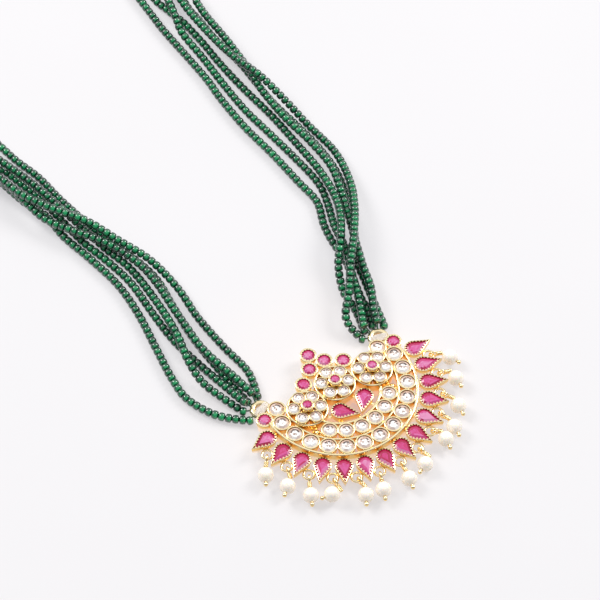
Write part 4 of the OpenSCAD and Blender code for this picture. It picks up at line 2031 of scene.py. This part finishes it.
@dataclass
class BarrelClasp:
    """The barrel clasp at the back of the neck, turned and knurled.

    Attributes:
        middle: its middle.
        length: its length.
        radius: radius of its body.
        neck_in: how much thinner its ends are.
        groove, band, knurl, body: distances from its middle at which its forms begin and end.
        fine: a last cut before its domed ends.
        sides: sides of its round.
    """

    middle: Triple = (4.5, 201.5, 3.6)
    length: float = 14.0
    radius: float = 3.6
    neck_in: float = 0.3
    groove: float = 0.15
    band: float = 2.2
    knurl: float = 2.6
    body: float = 4.6
    fine: float = 5.0
    sides: int = 48

    def around(self, face: bmesh.types.BMFace, low: float, high: float) -> bool:
        """Whether a face of the barrel's side lies between two distances from its middle."""
        return abs(face.normal.z) < 0.3 and low * MM < abs(face.calc_center_median().z) < high * MM

    def knurled(self, face: bmesh.types.BMFace) -> bool:
        """Whether a face is one that the knurling sinks."""
        in_band = self.around(face, self.knurl, self.body)
        return in_band and every_other(face.calc_center_median(), self.sides, -0.5)

    def at_end(self, face: bmesh.types.BMFace) -> bool:
        """Whether a face is one of the two flat ends."""
        return abs(face.normal.z) > 0.9 and abs(face.calc_center_median().z) > self.length * 0.49 * MM

    def build(self) -> Piece:
        """Turns the barrel with its grooves, its knurled bands and its domed ends.

        Returns:
            The clasp in its place.
        """
        barrel = Bench.cylinder(self.radius - self.neck_in, self.length, self.sides, -self.length / 2)
        Bench.open(barrel)
        cuts = (self.groove, self.band, self.knurl, self.body, self.fine)
        for level in sorted([-cut for cut in cuts] + list(cuts)):
            Bench.pick_all()
            bpy.ops.mesh.bisect(plane_co=(0, 0, level * MM), plane_no=(0, 0, 1))
        Bench.pick(Part.FACE, lambda f: self.around(f, self.groove, self.body))
        bpy.ops.mesh.extrude_region_shrink_fatten(TRANSFORM_OT_shrink_fatten={"value": 0.27 * MM})
        Bench.pick(Part.FACE, lambda f: self.around(f, self.band, self.knurl))
        bpy.ops.mesh.extrude_region_shrink_fatten(TRANSFORM_OT_shrink_fatten={"value": -0.2 * MM})
        Bench.pick(Part.FACE, self.knurled)
        bpy.ops.mesh.inset(thickness=0.06 * MM, depth=-0.12 * MM, use_individual=True)
        Bench.pick(Part.FACE, self.at_end)
        bpy.ops.mesh.bevel(offset=0.7 * MM, segments=3)
        Bench.close()
        Bench.smooth(barrel, 30)
        barrel.matrix_world = at(*self.middle) @ quarter_turn("Y")
        return Bench.unite([barrel], "turned_clasp")


# Studio


@dataclass
class Studio:
    """The camera, the two soft lights, the surround and the floor.

    Attributes:
        eye: the camera's place.
        right, up, back: its three axes.
        lens: its focal length in mm.
        lamps: the direction of each soft light from the pendant, one metre away.
        lamp_size, lamp_power: diameter in metres and power in watts of a soft light.
        room: strength of the surround.
        bright: the direction in which the surround is brightest.
    """

    eye: Triple = (-269.47, -406.32, 620.95)
    right: Triple = (0.801, -0.5985, 0.0159)
    up: Triple = (0.4796, 0.6573, 0.5813)
    back: Triple = (-0.3583, -0.458, 0.8135)
    lens: float = 180.0
    lamps: Sequence[tuple[str, Triple]] = (
        ("soft_light_right", (0.771, -0.06, 0.626)),
        ("soft_light_left", (-0.287, 0.696, 0.65)),
    )
    lamp_size: float = 0.42
    lamp_power: float = 4.8
    room: float = 1.0
    bright: Triple = (0.3, 0.45, 0.84)

    def camera(self) -> None:
        """Sets the camera at the photograph's viewing angle."""
        data = bpy.data.cameras.new("camera")
        data.lens = self.lens
        data.sensor_width = 36.0
        data.clip_start = 0.005
        data.clip_end = 20.0
        made = bpy.data.objects.new("camera", data)
        bpy.context.scene.collection.objects.link(made)
        axes = Matrix((self.right, self.up, self.back)).transposed().to_4x4()
        made.matrix_world = Matrix.Translation(Vector(self.eye) * MM) @ axes
        bpy.context.scene.camera = made

    def softbox(self, name: str, toward: Triple) -> None:
        """Hangs a round soft light that faces the pendant.

        Args:
            name: the light's name.
            toward: its direction from the pendant.
        """
        data = bpy.data.lights.new(name, "AREA")
        data.shape = "DISK"
        data.size = self.lamp_size
        data.energy = self.lamp_power
        data.color = (1.0, 0.985, 0.965)
        made = bpy.data.objects.new(name, data)
        bpy.context.scene.collection.objects.link(made)
        way = Vector(toward).normalized()
        facing = way.to_track_quat("Z", "Y").to_matrix().to_4x4()
        made.matrix_world = Matrix.Translation(HOME * MM + way) @ facing

    def surround(self) -> None:
        """Lights the room: bright overhead, greyer toward the horizon."""
        world = bpy.data.worlds.new("room")
        world.use_nodes = True
        tree = world.node_tree
        tree.nodes.clear()
        coords = tree.nodes.new("ShaderNodeTexCoord")
        lobe = tree.nodes.new("ShaderNodeVectorMath")
        lobe.operation = "DOT_PRODUCT"
        lobe.inputs[1].default_value = Vector(self.bright).normalized()
        ramp = tree.nodes.new("ShaderNodeValToRGB")
        light = tree.nodes.new("ShaderNodeBackground")
        out = tree.nodes.new("ShaderNodeOutputWorld")
        grey, white = ramp.color_ramp.elements
        grey.position = 0.15
        grey.color = (0.2, 0.2, 0.205, 1)
        white.position = 0.92
        white.color = (1.0, 0.985, 0.97, 1)
        light.inputs["Strength"].default_value = self.room
        tree.links.new(coords.outputs["Generated"], lobe.inputs[0])
        tree.links.new(lobe.outputs["Value"], ramp.inputs[0])
        tree.links.new(ramp.outputs[0], light.inputs[0])
        tree.links.new(light.outputs[0], out.inputs[0])
        bpy.context.scene.world = world

    def floor(self) -> None:
        """Lays the plain pale floor under the necklace."""
        bpy.ops.mesh.primitive_plane_add(size=6.0, location=(0, 0, 0))
        piece = Bench.settle(bpy.context.object)
        piece.name = "pale_floor"
        piece.data.materials.append(PaleFloor().make())

    def build(self) -> None:
        """Sets up the whole studio."""
        self.camera()
        for name, toward in self.lamps:
            self.softbox(name, toward)
        self.surround()
        self.floor()
        bpy.context.scene.view_settings.view_transform = "Standard"


def main() -> None:
    """Builds the necklace and its studio, piece by piece."""
    logging.basicConfig(level=logging.INFO, format="%(message)s")
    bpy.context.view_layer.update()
    Studio().build()
    work = GiltWork()
    hand_over(work.build(), Gilt(mirror_top=2.7).make(), ["pendant_frame"])
    glass = {Tint.RED: RED_GLASS.make(), Tint.CLEAR: CLEAR_GLASS.make()}
    for stones in stone_sets(work):
        hand_over(stones.build(), glass[stones.tint], stones.nodes)
    drops = PearlDrops()
    lustre = PearlLustre().make()
    for k, pearl in enumerate(drops.build_pearls(), 1):
        hand_over(pearl, lustre, [f"pearl_{k}"])
    hand_over(drops.build_pins(work), Gilt("pin_gilt", low=0.4, high=2.6).make(), ["headpins"])
    strings = BeadStrings()
    bead_glass = BeadGlass().make()
    bead = strings.bead()
    for side in Side:
        for k in range(6):
            string = strings.build_string(bead, side, k)
            hand_over(string, bead_glass, [f"strand_{side.word}_{k + 1}"])
    Bench.discard(bead)
    hand_over(strings.build_threads(), Thread().make(), [])
    pale = Thread("tying_thread", rgb(0.72, 0.66, 0.6), rgb(0.9, 0.87, 0.83))
    hand_over(TieWindings().build(), pale.make(), [])
    clasp_gilt = Gilt("clasp_gilt", low=0.0, high=7.0).make()
    hand_over(BarrelClasp().build(), clasp_gilt, ["barrel_clasp"])


if __name__ == "__main__":
    main()
